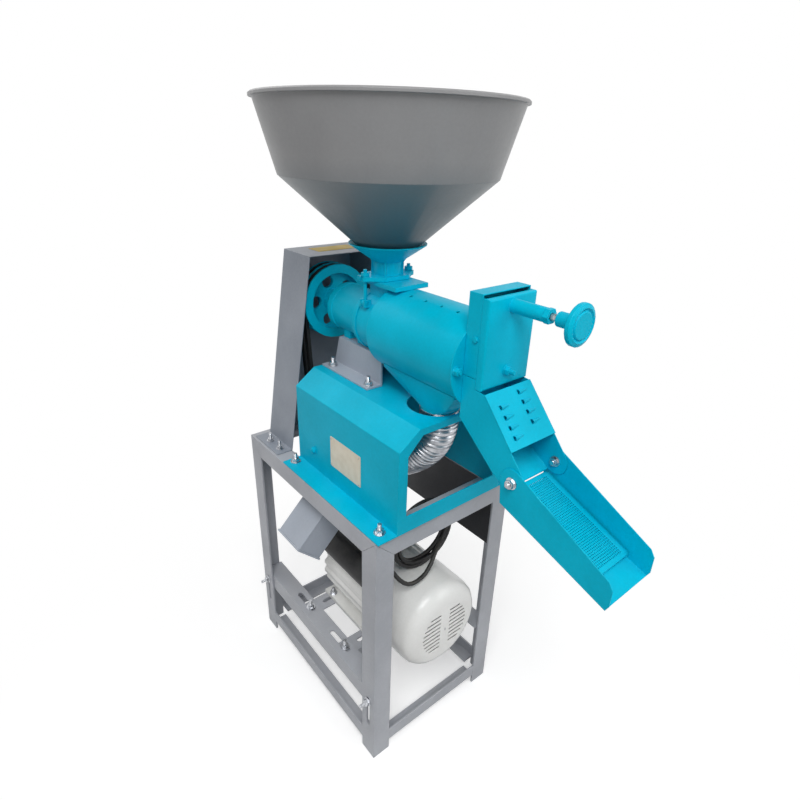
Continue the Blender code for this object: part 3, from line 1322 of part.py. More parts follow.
def build_eye_bolts():
    """Swing bolts with their pins, which turn in the casting's lugs and hold the funnel by its open slots."""
    top = PAD_TOP + GAP + FEED_FLANGE_THICKNESS + GAP
    middle = -HOPPER_AXIS
    reach = EYE_THICKNESS / 2
    for side, name in zip(SIDES, ("eye_bolt_left", "eye_bolt_right")):
        x = side * EYE_X
        eye = rod(EYE_RADIUS, (x, middle - reach, EYE_HEIGHT), (x, middle + reach, EYE_HEIGHT))
        stem_low = (x, middle, EYE_HEIGHT + EYE_RADIUS - EYE_BOLT_RADIUS)
        stem = rod(EYE_BOLT_RADIUS, stem_low, (x, middle, top + NUT_HEIGHT + BOLT_END), TINY_STEPS)
        nut = rod(NUT_RADIUS, (x, middle, top), (x, middle, top + NUT_HEIGHT), HEX_STEPS)
        pin_reach = reach + GAP + LUG_THICKNESS
        pin_ends = ((x, middle - pin_reach, EYE_HEIGHT), (x, middle + pin_reach, EYE_HEIGHT))
        fuse(eye, stem, nut, rod(EYE_PIN_RADIUS, *pin_ends, TINY_STEPS))
        finish(name, eye, "teal_paint", ROOT)


def hopper_cone_height(radius):
    return HOPPER_CONE_TOP - (HOPPER_SHOULDER_RADIUS - radius) * HOPPER_CONE_SLOPE


def build_hopper(parent):
    """A spun hopper: rolled lip, tapered wall and a cone that stands in the feed funnel."""
    lean = HOPPER_SHEET * math.sqrt(1 + HOPPER_CONE_SLOPE**2)
    low = hopper_cone_height(HOPPER_OUTLET_RADIUS)
    lip_mid = (HOPPER_RIM_RADIUS + HOPPER_WALL_TOP_RADIUS) / 2
    lip_low = HOPPER_RIM_HEIGHT - HOPPER_LIP_DEPTH
    crown_low = HOPPER_RIM_HEIGHT - HOPPER_LIP_DEPTH * HOPPER_LIP_CROWN_SHARE
    outlet_inner = HOPPER_OUTLET_RADIUS - HOPPER_SHEET / 2
    profile = [(lip_mid, HOPPER_RIM_HEIGHT), (HOPPER_RIM_RADIUS, crown_low)]
    profile += [(HOPPER_RIM_RADIUS, lip_low), (HOPPER_WALL_TOP_RADIUS, lip_low)]
    profile += [(HOPPER_SHOULDER_RADIUS, HOPPER_CONE_TOP), (HOPPER_OUTLET_RADIUS, low)]
    profile += [(outlet_inner, low), (outlet_inner, low + lean / 2)]
    profile += [(HOPPER_SHOULDER_RADIUS - HOPPER_SHEET, HOPPER_CONE_TOP + lean / 2)]
    profile += [(HOPPER_WALL_TOP_RADIUS - HOPPER_SHEET, HOPPER_RIM_HEIGHT)]
    finish("hopper", lathe(profile, (0, -HOPPER_AXIS), "Z", FINE_STEPS), "hopper_steel", parent)


def build_discharge_box():
    """A folded box on the end disc, open in front and below, with the outlet through its back."""
    back = disc_face() - GAP
    front = -DISCHARGE_FRONT
    shell = box((-OUTLET_HALF_WIDTH, front, OUTLET_BOTTOM), (OUTLET_HALF_WIDTH, back, OUTLET_TOP))
    low = (OUTLET_SHEET - OUTLET_HALF_WIDTH, front - OVERRUN, OUTLET_BOTTOM - OVERRUN)
    cut(shell, box(low, (OUTLET_HALF_WIDTH - OUTLET_SHEET, back - OUTLET_SHEET, OUTLET_TOP - OUTLET_SHEET)))
    reach = OUTLET_HALF_WIDTH - OUTLET_SHEET - GAP
    apron_top = (reach, back, OUTLET_BOTTOM + OVERRUN)
    fuse(shell, box((-reach, back - OUTLET_SHEET, OUTLET_BACK_BOTTOM), apron_top))
    hole_start = (0, back - OUTLET_SHEET - OVERRUN, SHAFT_HEIGHT)
    cut(shell, rod(OUTLET_RADIUS, hole_start, (0, back + OVERRUN, SHAFT_HEIGHT), ROUND_STEPS))
    pin_y = front + GATE_PIN_DEPTH
    reach = OUTLET_HALF_WIDTH + OVERRUN
    ends = ((-reach, pin_y, GATE_PIN_HEIGHT), (reach, pin_y, GATE_PIN_HEIGHT))
    cut(shell, rod(GATE_PIN_RADIUS + GAP, *ends, TINY_STEPS))
    finish("discharge_box", shell, "teal_paint", ROOT)


def door_back():
    return -DISCHARGE_FRONT - GAP


def door_front():
    return door_back() - DOOR_DEPTH


def build_door_cover():
    """The pressed door with rounded edges, and the tube that holds the pressure rod."""
    back, front = door_back(), door_front()
    shell = box((-DOOR_HALF_WIDTH, front, DOOR_BOTTOM), (DOOR_HALF_WIDTH, back, DOOR_TOP))
    shape = bmesh.new()
    shape.from_mesh(shell.data)
    edges = [edge for edge in shape.edges if all(vert.co.y < front + GAP for vert in edge.verts)]
    bmesh.ops.bevel(
        shape, geom=edges, offset=DOOR_ROUND, segments=DOOR_ROUND_STEPS, profile=0.5, affect="EDGES"
    )
    shape.to_mesh(shell.data)
    shape.free()
    tube_start = (0, front + DOOR_SHEET / 2, TUBE_HEIGHT)
    fuse(shell, rod(TUBE_RADIUS, tube_start, (0, -TUBE_END, TUBE_HEIGHT), TUBE_STEPS))
    low = (DOOR_SHEET - DOOR_HALF_WIDTH, front + DOOR_SHEET, DOOR_BOTTOM + DOOR_SHEET)
    inside = box(low, (DOOR_HALF_WIDTH - DOOR_SHEET, back + OVERRUN, DOOR_TOP - DOOR_SHEET))
    bore_end = (0, -TUBE_END - OVERRUN, TUBE_HEIGHT)
    bore = rod(TUBE_BORE_RADIUS, (0, back + OVERRUN, TUBE_HEIGHT), bore_end, TUBE_STEPS)
    reach = DOOR_HALF_WIDTH - DOOR_SHEET
    slot_top = (reach, back + OVERRUN, DOOR_TOP + OVERRUN)
    slot = box((-reach, back - DOOR_SLOT, DOOR_TOP - 2 * DOOR_SHEET), slot_top)
    shank = STUD_RADIUS * STUD_SHANK_SHARE + GAP
    stud = rod(shank, (0, front - OVERRUN, STUD_HEIGHT), (0, back, STUD_HEIGHT), TINY_STEPS)
    cut(shell, inside, bore, slot, stud)
    finish("door_cover", shell, "teal_paint", ROOT)


def build_pressure_gate(parent):
    """A cranked flap on a cross pin. Its foot lies on the outlet, and the spring pulls its tail forwards."""
    face = disc_face() - GAP - OUTLET_SHEET - GAP
    pin_y = -DISCHARGE_FRONT + GATE_PIN_DEPTH
    tail = pin_y + GATE_SHEET / 2
    low = OUTLET_BACK_BOTTOM + GATE_SHEET / 2
    jog = face - tail
    outline = [(face - GATE_SHEET, low), (face, low), (face, GATE_BEND + GATE_SHEET / 2)]
    outline += [(tail, GATE_BEND + jog * GATE_JOG_SHARE + GATE_SHEET), (tail, GATE_TAIL_TOP)]
    outline += [(tail - GATE_SHEET, GATE_TAIL_TOP), (tail - GATE_SHEET, GATE_BEND + jog * GATE_JOG_SHARE)]
    outline += [(face - GATE_SHEET, GATE_BEND - GATE_SHEET / 2)]
    gate = plate("X", -GATE_HALF_WIDTH, GATE_HALF_WIDTH, outline)
    reach = GATE_HALF_WIDTH + 2 * GATE_SHEET
    fuse(gate, rod(GATE_KNUCKLE_RADIUS, (-reach, pin_y, GATE_PIN_HEIGHT), (reach, pin_y, GATE_PIN_HEIGHT)))
    reach += OVERRUN
    cut(gate, rod(GATE_BORE_RADIUS, (-reach, pin_y, GATE_PIN_HEIGHT), (reach, pin_y, GATE_PIN_HEIGHT)))
    finish("pressure_gate", gate, "machined_steel", parent)


def spring_start():
    pin_y = -DISCHARGE_FRONT + GATE_PIN_DEPTH
    return pin_y - GATE_SHEET / 2 - SPRING_WIRE - GAP


def build_pressure_spring():
    """A tension spring from the gate's tail to the rod's swivel washer."""
    start, end = spring_start(), -SPRING_END
    points = []
    total = SPRING_COILS * SPRING_POINTS
    for step in range(total + 1):
        angle = math.tau * step / SPRING_POINTS
        y = start + (end - start) * step / total
        points.append((SPRING_RADIUS * math.cos(angle), y, TUBE_HEIGHT + SPRING_RADIUS * math.sin(angle)))
    finish("pressure_spring", to_mesh_object(tube(points, SPRING_WIRE, WIRE_ROUNDS)), "machined_steel", ROOT)


def seat_start():
    return -SPRING_END - SPRING_WIRE - GAP


def build_spring_seat(parent):
    start = seat_start()
    seat = rod(SEAT_RADIUS, (0, start, TUBE_HEIGHT), (0, start - SEAT_LENGTH, TUBE_HEIGHT), SMALL_STEPS)
    finish("spring_seat", seat, "machined_steel", parent)


def build_rod_and_knob(parent):
    """The threaded rod and the hand knob on its end: a hub, a round rim and a raised face."""
    start = seat_start() - SEAT_LENGTH - GAP
    end = -KNOB_HUB_START - (KNOB_HUB_END - KNOB_HUB_START) / 2
    bar = rod(ROD_RADIUS, (0, start, TUBE_HEIGHT), (0, end, TUBE_HEIGHT), SMALL_STEPS)
    finish("pressure_rod", bar, "machined_steel", parent)
    bore = ROD_RADIUS + GAP
    hub, back = -KNOB_HUB_START, -KNOB_HUB_END
    front = back - KNOB_THICKNESS
    rim = KNOB_RADIUS - KNOB_RIM
    corner = KNOB_THICKNESS * KNOB_CORNER_SHARE
    face = KNOB_FACE_RADIUS - KNOB_RIM * KNOB_BEAD_SHARE
    profile = [(KNOB_HUB_RADIUS, hub), (KNOB_HUB_RADIUS, back), (rim, back)]
    profile += [(KNOB_RADIUS, back - corner), (KNOB_RADIUS, front + corner), (rim, front)]
    profile += [(KNOB_FACE_RADIUS, front + KNOB_RIM / 2), (face, front), (0, front)]
    knob = lathe([(0, hub)] + profile, (0, TUBE_HEIGHT), steps=MEDIUM_STEPS)
    bore_start = (0, end - GAP, TUBE_HEIGHT)
    cut(knob, rod(bore, bore_start, (0, hub + OVERRUN, TUBE_HEIGHT), SMALL_STEPS))
    finish("hand_knob", knob, "teal_paint", parent)


def build_gate_pin():
    """The pin across the outlet box that the gate swings on."""
    reach = OUTLET_HALF_WIDTH + GAP
    head = reach + BOLT_END / 2
    profile = [(0, head), (STUD_RADIUS, head), (STUD_RADIUS, reach), (GATE_PIN_RADIUS, reach)]
    profile += [(GATE_PIN_RADIUS, -reach), (STUD_RADIUS, -reach), (STUD_RADIUS, -head), (0, -head)]
    pin = lathe(profile, (0, 0), "Z", SMALL_STEPS)
    place = Matrix.Translation((0, GATE_PIN_DEPTH - DISCHARGE_FRONT, GATE_PIN_HEIGHT))
    pin.data.transform(place @ Matrix.Rotation(math.pi / 2, 4, "Y"))
    finish("gate_pin", pin, "teal_paint", ROOT)


def build_lock_nut():
    """The nut that locks the threaded rod against the door's tube."""
    start = -TUBE_END - GAP
    end = start - LOCK_NUT_LENGTH
    bore = ROD_RADIUS + GAP
    profile = [(LOCK_NUT_RADIUS, start), (LOCK_NUT_RADIUS, end), (bore, end), (bore, start)]
    nut = lathe(profile, (0, TUBE_HEIGHT), steps=SMALL_STEPS)
    finish("lock_nut", nut, "teal_paint", ROOT)


def chute_back():
    return disc_face() - GAP


def upper_chute_outline():
    """A side plate's outline: it passes behind the door, then runs down to a round end at the pivot."""
    front = math.atan2(LOUVRE_TOP_Z - LOUVRE_END_Z, LOUVRE_END_Y - LOUVRE_TOP_Y)
    end = math.atan2(CHUTE_LIP_Z - PIVOT_Z, PIVOT_Y - CHUTE_LIP_Y) + math.tau
    outline = [(chute_back(), CHUTE_TOP), (-DISCHARGE_FRONT, CHUTE_TOP)]
    outline += [(-DISCHARGE_FRONT, DOOR_BOTTOM - GAP), (-LOUVRE_TOP_Y, LOUVRE_TOP_Z)]
    outline += arc((-PIVOT_Y, PIVOT_Z), CHUTE_END_RADIUS, math.pi / 2 + front, end, ROUND_END_STEPS)
    return outline + [(-CHUTE_FLOOR_Y, CHUTE_FLOOR_Z), (chute_back(), CHUTE_BACK_FOOT)]


def build_upper_chute():
    """Two side plates and the floor between them. It carries the rice from the gate to the sieve."""
    inner = CHUTE_HALF_WIDTH - CHUTE_SHEET
    plates = []
    for side in SIDES:
        low, high = sorted((side * inner, side * CHUTE_HALF_WIDTH))
        plates.append(plate("X", low, high, upper_chute_outline()))
    chute, other = plates
    back, foot = chute_back() - GAP, CHUTE_BACK_FOOT + GAP
    floor = (-CHUTE_FLOOR_Y, CHUTE_FLOOR_Z + GAP)
    lip = (-CHUTE_LIP_Y, CHUTE_LIP_Z + GAP)
    sheet = CHUTE_SHEET
    top = OUTLET_BACK_BOTTOM - GAP
    outline = [(back, top), (back, foot), floor, lip, (lip[0], lip[1] + sheet), (floor[0], floor[1] + sheet)]
    outline += [(back - sheet, foot + sheet / 2), (back - sheet, top)]
    reach = inner + CHUTE_SHEET / 2
    fuse(chute, plate("X", -reach, reach, outline), other)
    reach = CHUTE_HALF_WIDTH + OVERRUN
    cut(chute, rod(PIVOT_HOLE_RADIUS, (-reach, -PIVOT_Y, PIVOT_Z), (reach, -PIVOT_Y, PIVOT_Z)))
    finish("upper_chute", chute, "teal_paint", ROOT)


def build_louvre_plate():
    """The chute's front plate with two columns of raised louvres and a lip turned in at its foot."""
    top = Vector((-LOUVRE_TOP_Y, LOUVRE_TOP_Z))
    end = Vector((-LOUVRE_END_Y, LOUVRE_END_Z))
    down = (end - top).normalized()
    out = Vector((down.y, -down.x))
    lift = out * GAP
    face = out * (GAP + CHUTE_SHEET)
    length = (end - top).length
    outline = [top + lift, end + lift, end + face, top + face]
    cover = plate("X", -LOUVRE_HALF_WIDTH, LOUVRE_HALF_WIDTH, [tuple(p) for p in outline])
    for column, x in enumerate((-LOUVRE_LEFT, LOUVRE_RIGHT)):
        for row in range(LOUVRE_ROWS):
            along = length * LOUVRE_START_SHARES[column] + row * LOUVRE_PITCH
            place = top + face + down * along
            start = Vector((x, place.x, place.y))
            tip = start + Vector((LOUVRE_LENGTH, 0, 0))
            tip_radius = LOUVRE_RADIUS * LOUVRE_TIP_SHARE
            fuse(cover, rod(LOUVRE_RADIUS, start, tip, TINY_STEPS, end_radius=tip_radius))
    cover = to_mesh_object(cover)
    under = Vector((0, (top + lift).x, (top + lift).y))
    cut_flat(cover, under, Vector((0, -out.x, -out.y)))
    for column, x in enumerate((-LOUVRE_LEFT, LOUVRE_RIGHT)):
        for row in range(LOUVRE_ROWS):
            along = length * LOUVRE_START_SHARES[column] + row * LOUVRE_PITCH
            place = top + face + down * along
            start = Vector((x - OVERRUN * LOUVRE_MOUTH_SHARE, place.x, place.y))
            tip = Vector((x + LOUVRE_LENGTH * LOUVRE_HOLLOW_SHARE, place.x, place.y))
            hollow = LOUVRE_RADIUS - CHUTE_SHEET / 2
            cut(cover, rod(hollow, start, tip, TINY_STEPS, end_radius=hollow * LOUVRE_TIP_SHARE))
    finish("louvre_plate", cover, "teal_paint", ROOT)


def build_lower_chute(parent):
    """The tilting chute: two side walls outside the upper chute and a catch pan that ends in a plain lip."""
    pivot = (-PIVOT_Y, PIVOT_Z)
    slope = math.atan2(PIVOT_Z + CHUTE_END_RADIUS - TRAY_TIP_TOP, TRAY_TIP_Y - PIVOT_Y)
    outer = TRAY_INSIDE + CHUTE_SHEET
    outline = arc(pivot, CHUTE_END_RADIUS, 0, math.pi / 2 + slope, ROUND_END_STEPS)
    outline += [(TRAY_TIP_CORNER - TRAY_TIP_Y, TRAY_TIP_TOP + TRAY_TIP_CORNER * math.tan(slope))]
    outline += [(-TRAY_TIP_Y, TRAY_TIP_TOP - TRAY_TIP_CORNER), (-TRAY_TIP_Y, TRAY_TIP_BOTTOM)]
    outline += [(-TRAY_LIP_Y, TRAY_LIP_Z), (-TRAY_HEEL_Y, TRAY_HEEL_Z)]
    chute = plate("X", -outer, outer, outline)
    sheet = CHUTE_SHEET
    floor = Vector((TRAY_HEEL_Y - TRAY_LIP_Y, TRAY_LIP_Z - TRAY_HEEL_Z)).normalized()
    up = Vector((floor.y, -floor.x)) * sheet
    heel = Vector((-TRAY_HEEL_Y, TRAY_HEEL_Z)) + up - floor * TRAY_HEEL_Y
    lip = Vector((-TRAY_LIP_Y, TRAY_LIP_Z)) + up + floor * TRAY_HEEL_Y
    top = PIVOT_Z + TRAY_HEEL_Y
    cut(chute, plate("X", -TRAY_INSIDE, TRAY_INSIDE, [tuple(heel), tuple(lip), (lip.x, top), (heel.x, top)]))
    reach = outer + OVERRUN
    cut(chute, rod(PIVOT_HOLE_RADIUS, (-reach, -PIVOT_Y, PIVOT_Z), (reach, -PIVOT_Y, PIVOT_Z)))
    finish("lower_chute", chute, "teal_paint", parent)


def tray_floor_height(y):
    """The height at which the sieve's ends stand on the pan, at a place along Y."""
    slope = (TRAY_LIP_Z - TRAY_HEEL_Z) / (TRAY_LIP_Y - TRAY_HEEL_Y)
    return TRAY_HEEL_Z + (-y - TRAY_HEEL_Y) * slope + CHUTE_SHEET * math.sqrt(1 + slope**2) + GAP


def build_chute_screen(parent):
    """The slotted sieve plate, which stands on the pan by its two turned down ends."""
    sheet = CHUTE_SHEET
    back = Vector((-SIEVE_BACK_Y, SIEVE_BACK_Z))
    front = Vector((-SIEVE_FRONT_Y, SIEVE_FRONT_Z))
    along = (front - back).normalized()
    up = Vector((along.y, -along.x))
    if up.y < 0:
        up = -up
    lower = -up * sheet
    front_feet = [Vector((y, tray_floor_height(y))) for y in (front.x, front.x + sheet)]
    back_feet = [Vector((y, tray_floor_height(y))) for y in (back.x - sheet, back.x)]
    corners = [front + lower + Vector((sheet, 0)), back + lower - Vector((sheet, 0))]
    outline = [back, front] + front_feet + corners + back_feet
    sieve = plate("X", -SIEVE_HALF_WIDTH, SIEVE_HALF_WIDTH, [tuple(p) for p in outline])
    length = (front - back).length
    pitch_y = length / (SIEVE_ROWS + 1)
    pitch_x = 2 * SIEVE_HALF_WIDTH / (SIEVE_COLUMNS + SIEVE_SLOT_SHARE)
    slots = []
    for row in range(SIEVE_ROWS):
        place = back + along * pitch_y * (row + 1)
        half_long = pitch_y * SIEVE_SLOT_SHARE / 2
        low, high = -sheet - OVERRUN, OVERRUN
        section = ((-half_long, low), (half_long, low), (half_long, high), (-half_long, high))
        corners = [tuple(place + along * forth + up * rise) for forth, rise in section]
        for column in range(SIEVE_COLUMNS):
            x = pitch_x * (column - (SIEVE_COLUMNS - 1) / 2)
            half = pitch_x * SIEVE_BAR_SHARE / 2
            slots.append(plate("X", x - half, x + half, corners))
    cut(sieve, gather(*slots))
    finish("chute_screen", sieve, "teal_paint", parent)


def build_pivot_rod():
    """The rod across both chutes, on which the lower one tilts, with a nut at each end."""
    outer = TRAY_INSIDE + CHUTE_SHEET + GAP
    nut, end = outer + NUT_HEIGHT, outer + NUT_HEIGHT + BOLT_END
    half = [(0, end), (PIVOT_BOLT_RADIUS, end), (PIVOT_BOLT_RADIUS, nut)]
    half += [(NUT_RADIUS, nut), (NUT_RADIUS, outer), (PIVOT_BOLT_RADIUS, outer)]
    bolt = lathe(half + [(radius, -x) for radius, x in reversed(half)], (0, 0), "Z", SMALL_STEPS)
    bolt.data.transform(Matrix.Translation((0, -PIVOT_Y, PIVOT_Z)) @ Matrix.Rotation(math.pi / 2, 4, "Y"))
    finish("pivot_rod", bolt, "zinc", ROOT)


def groove_profile(radius, rear):
    """The outer side of a pulley with two V grooves, from its rear face to its front face."""
    points = [(radius, rear)]
    middle = rear - PULLEY_WIDTH / 2
    for number in (1, -1):
        centre = middle + number * GROOVE_PITCH / 2
        points += [(radius, centre + GROOVE_TOP / 2), (radius - GROOVE_DEPTH, centre + GROOVE_BOTTOM / 2)]
        points += [(radius - GROOVE_DEPTH, centre - GROOVE_BOTTOM / 2), (radius, centre - GROOVE_TOP / 2)]
    return points + [(radius, rear - PULLEY_WIDTH)]


def pulley_rear():
    return PULLEY_FRONT + PULLEY_WIDTH


def build_main_pulley(parent):
    """The large pulley: a grooved rim, a thin web with round holes and a hub."""
    rear, front = pulley_rear(), PULLEY_FRONT
    rim = MAIN_PULLEY_RADIUS - GROOVE_DEPTH - PULLEY_RIM
    middle = (rear + front) / 2
    web_rear, web_front = middle + PULLEY_WEB / 2, middle - PULLEY_WEB / 2
    bore = SHAFT_RADIUS + GAP
    profile = groove_profile(MAIN_PULLEY_RADIUS, rear)
    profile += [(rim, front), (rim, web_front), (PULLEY_HUB_RADIUS, web_front), (PULLEY_HUB_RADIUS, front)]
    profile += [(bore, front), (bore, rear), (PULLEY_HUB_RADIUS, rear), (PULLEY_HUB_RADIUS, web_rear)]
    profile += [(rim, web_rear), (rim, rear)]
    pulley = lathe(profile, SHAFT_AXIS, steps=ROUND_STEPS)
    ring = (rim + PULLEY_HUB_RADIUS) / 2
    for number in range(PULLEY_HOLES):
        angle = math.tau * (number + 0.5) / PULLEY_HOLES
        x, z = ring * math.cos(angle), SHAFT_HEIGHT + ring * math.sin(angle)
        start = (x, web_front - OVERRUN, z)
        cut(pulley, rod(PULLEY_HOLE_RADIUS, start, (x, web_rear + OVERRUN, z), SMALL_STEPS))
    finish("main_pulley", pulley, "teal_paint", parent)


def build_motor_pulley(parent):
    rear, front = pulley_rear(), PULLEY_FRONT
    bore = MOTOR_SHAFT_RADIUS + GAP
    profile = groove_profile(MOTOR_PULLEY_RADIUS, rear) + [(bore, front), (bore, rear)]
    finish("motor_pulley", lathe(profile, MOTOR_AXIS, steps=ROUND_STEPS), "cast_iron", parent)


def belt_loop(radius_top, radius_bottom, steps):
    """A belt's line round both pulleys: two arcs and the straight runs between them."""
    span = SHAFT_HEIGHT - MOTOR_SHAFT_HEIGHT
    lean = math.asin((radius_top - radius_bottom) / span)
    upper = arc(SHAFT_AXIS, radius_top, -lean, math.pi + lean, steps)
    return upper + arc(MOTOR_AXIS, radius_bottom, math.pi + lean, math.tau - lean, steps)


def build_v_belts():
    """Two V belts in the pulleys' grooves."""
    inset = BELT_INSET
    taper = (GROOVE_TOP - GROOVE_BOTTOM) / 2 / GROOVE_DEPTH
    for number, name in ((1, "v_belt_rear"), (-1, "v_belt_front")):
        middle = PULLEY_FRONT + PULLEY_WIDTH / 2 + number * GROOVE_PITCH / 2
        shape = bmesh.new()
        loops = []
        for depth, end in ((inset, 1), (inset, -1), (inset + BELT_DEPTH, -1), (inset + BELT_DEPTH, 1)):
            half = GROOVE_TOP / 2 - depth * taper - GAP * 2
            line = belt_loop(MAIN_PULLEY_RADIUS - depth, MOTOR_PULLEY_RADIUS - depth, BELT_STEPS)
            loops.append([shape.verts.new((x, middle + end * half, z)) for x, z in line])
        for first, second in zip(loops, loops[1:] + loops[:1]):
            for index in range(len(first)):
                after = (index + 1) % len(first)
                shape.faces.new((first[index], first[after], second[after], second[index]))
        finish(name, from_bmesh("belt", shape), "black_rubber", ROOT)


def build_belt_guard():
    """A tapering sheet cover, open in front and below, on two turned out feet."""
    base = STAND_HEIGHT + GAP
    sheet = GUARD_SHEET
    outer = [(-GUARD_TOP_LEFT, GUARD_TOP), (GUARD_TOP_RIGHT, GUARD_TOP)]
    outer += [(GUARD_BASE_RIGHT, base), (-GUARD_BASE_LEFT, base)]
    shell = plate("Y", GUARD_FRONT, GUARD_REAR, outer)
    inner = [(sheet - GUARD_TOP_LEFT, GUARD_TOP - sheet), (GUARD_TOP_RIGHT - sheet, GUARD_TOP - sheet)]
    inner += [(GUARD_BASE_RIGHT - sheet, base - sheet), (sheet - GUARD_BASE_LEFT, base - sheet)]
    inside = plate("Y", GUARD_FRONT - OVERRUN, GUARD_REAR - sheet, inner)
    for wall, side in ((GUARD_BASE_LEFT, -1), (GUARD_BASE_RIGHT, 1)):
        ends = sorted((side * (wall - sheet / 2), side * (GUARD_BASE_LEFT + GUARD_FOOT)))
        fuse(shell, box((ends[0], GUARD_FRONT, base), (ends[1], GUARD_REAR, base + sheet)))
    cut(shell, inside)
    for side in SIDES:
        for y in guard_bolt_places():
            x = side * stand_bolt_x()
            hole_top = (x, y, base + OVERRUN + sheet)
            cut(shell, rod(BOLT_HOLE_RADIUS, (x, y, base - OVERRUN), hole_top, TINY_STEPS))
    finish("belt_guard", shell, "guard_paint", ROOT)


def build_motor_body():
    """The finned stator housing on two long feet, with its rear end shield."""
    outline = []
    pitch = math.tau / MOTOR_FIN_COUNT
    radii = (MOTOR_ROOT_RADIUS, MOTOR_FIN_RADIUS, MOTOR_FIN_RADIUS, MOTOR_ROOT_RADIUS)
    for fin in range(MOTOR_FIN_COUNT):
        for share, radius in zip(MOTOR_FIN_SHARES, radii):
            outline.append(around(MOTOR_AXIS, radius, pitch * (fin + share)))
    body = plate("Y", -MOTOR_FRONT, MOTOR_REAR, outline)
    low = CROSS_RAIL_TOP + GAP
    for side in SIDES:
        outer = MOTOR_FOOT_SPAN / 2
        inner = outer - MOTOR_FOOT_WIDTH
        ends = sorted((side * inner, side * outer))
        foot = box((ends[0], -MOTOR_FOOT_FRONT, low), (ends[1], MOTOR_FOOT_REAR, low + MOTOR_FOOT_THICKNESS))
        near, far = side * inner, side * (inner + MOTOR_FOOT_THICKNESS)
        high = low + MOTOR_FOOT_WIDTH
        web = [(near, low + GAP), (far, low + GAP), (far, high), (near, high)]
        fuse(body, foot, plate("Y", GAP - MOTOR_FOOT_FRONT, MOTOR_REAR - GAP, web))
        for y in (MOTOR_BOLT_REAR, -MOTOR_BOLT_FRONT):
            x = side * MOTOR_BOLT_SPAN / 2
            high = low + MOTOR_FOOT_THICKNESS + OVERRUN
            cut(body, rod(BOLT_HOLE_RADIUS, (x, y, low - OVERRUN), (x, y, high), TINY_STEPS))
    rear = MOTOR_REAR + MOTOR_SHIELD_LENGTH
    crown = MOTOR_SHIELD_RADIUS / 2
    profile = [(0, rear), (crown, rear), (MOTOR_SHIELD_RADIUS, MOTOR_REAR + MOTOR_SHIELD_LENGTH / 2)]
    shield = lathe(profile + [(MOTOR_SHIELD_RADIUS, 0), (0, 0)], MOTOR_AXIS)
    fuse(body, shield)
    core_start = (0, -MOTOR_FRONT - OVERRUN, MOTOR_SHAFT_HEIGHT)
    cut(body, rod(MOTOR_BORE_RADIUS, core_start, (0, rear + OVERRUN, MOTOR_SHAFT_HEIGHT), MEDIUM_STEPS))
    finish("motor_body", body, "motor_paint", ROOT)


def build_fan_cover():
    """A pressed bowl over the fan, with two columns of slots in its flat face."""
    rear = -MOTOR_FRONT - GAP
    face = -FAN_COVER_FACE
    sheet = FAN_COVER_SHEET
    swell = FAN_COVER_RADIUS - FAN_GRILLE_RADIUS
    outer, inner = [], []
    for step in range(CORNER_STEPS + 1):
        angle = math.pi / 2 * step / CORNER_STEPS
        out, back = math.cos(angle), 1 - math.sin(angle)
        outer.append((FAN_GRILLE_RADIUS + swell * out, face + FAN_COVER_CROWN * back))
        inner_back = face + sheet + (FAN_COVER_CROWN - sheet) * back
        inner.append((FAN_GRILLE_RADIUS + (swell - sheet) * out, inner_back))
    skirt = [(FAN_COVER_RADIUS - sheet, rear), (FAN_COVER_RADIUS, rear)]
    cover = lathe([(0, face + sheet)] + inner[::-1] + skirt + outer + [(0, face)], MOTOR_AXIS)
    slots = []
    for row in range(FAN_SLOT_ROWS):
        z = (row - (FAN_SLOT_ROWS - 1) / 2) * FAN_SLOT_PITCH
        reach = math.sqrt((FAN_GRILLE_RADIUS * FAN_SLOT_REACH_SHARE) ** 2 - z * z)
        for side in SIDES:
            ends = sorted((side * FAN_SLOT_INNER, side * reach))
            low = (ends[0], face - OVERRUN, MOTOR_SHAFT_HEIGHT + z - FAN_SLOT_HEIGHT / 2)
            high = (ends[1], face + sheet + OVERRUN, MOTOR_SHAFT_HEIGHT + z + FAN_SLOT_HEIGHT / 2)
            slots.append(box(low, high))
    cut(cover, gather(*slots))
    finish("fan_cover", cover, "motor_paint", ROOT)


def build_motor_shaft(parent):
    """The rotor's shaft, with the cooling fan keyed on its front end."""
    rear = pulley_rear() + 2 * GAP
    front = GAP - MOTOR_FRONT - FAN_DEPTH - FAN_HUB_CLEARANCE
    shaft_ends = ((0, front, MOTOR_SHAFT_HEIGHT), (0, rear, MOTOR_SHAFT_HEIGHT))
    shaft = rod(MOTOR_SHAFT_RADIUS, *shaft_ends, MEDIUM_STEPS)
    fan_rear = -MOTOR_FRONT - FAN_HUB_CLEARANCE
    fan_front = fan_rear - FAN_DEPTH
    hub_ends = ((0, fan_front, MOTOR_SHAFT_HEIGHT), (0, fan_rear, MOTOR_SHAFT_HEIGHT))
    hub = rod(FAN_HUB_RADIUS, *hub_ends, MEDIUM_STEPS)
    for number in range(FAN_BLADES):
        blade_low = (FAN_HUB_RADIUS / 2, fan_front + GAP, -FAN_BLADE_SHEET / 2)
        blade = box(blade_low, (FAN_RADIUS, fan_rear - GAP, FAN_BLADE_SHEET / 2))
        turn = Matrix.Rotation(math.tau * number / FAN_BLADES, 4, "Y")
        blade.data.transform(Matrix.Translation((0, 0, MOTOR_SHAFT_HEIGHT)) @ turn)
        fuse(hub, blade)
    finish("motor_shaft", fuse(shaft, to_mesh_object(hub)), "machined_steel", parent)


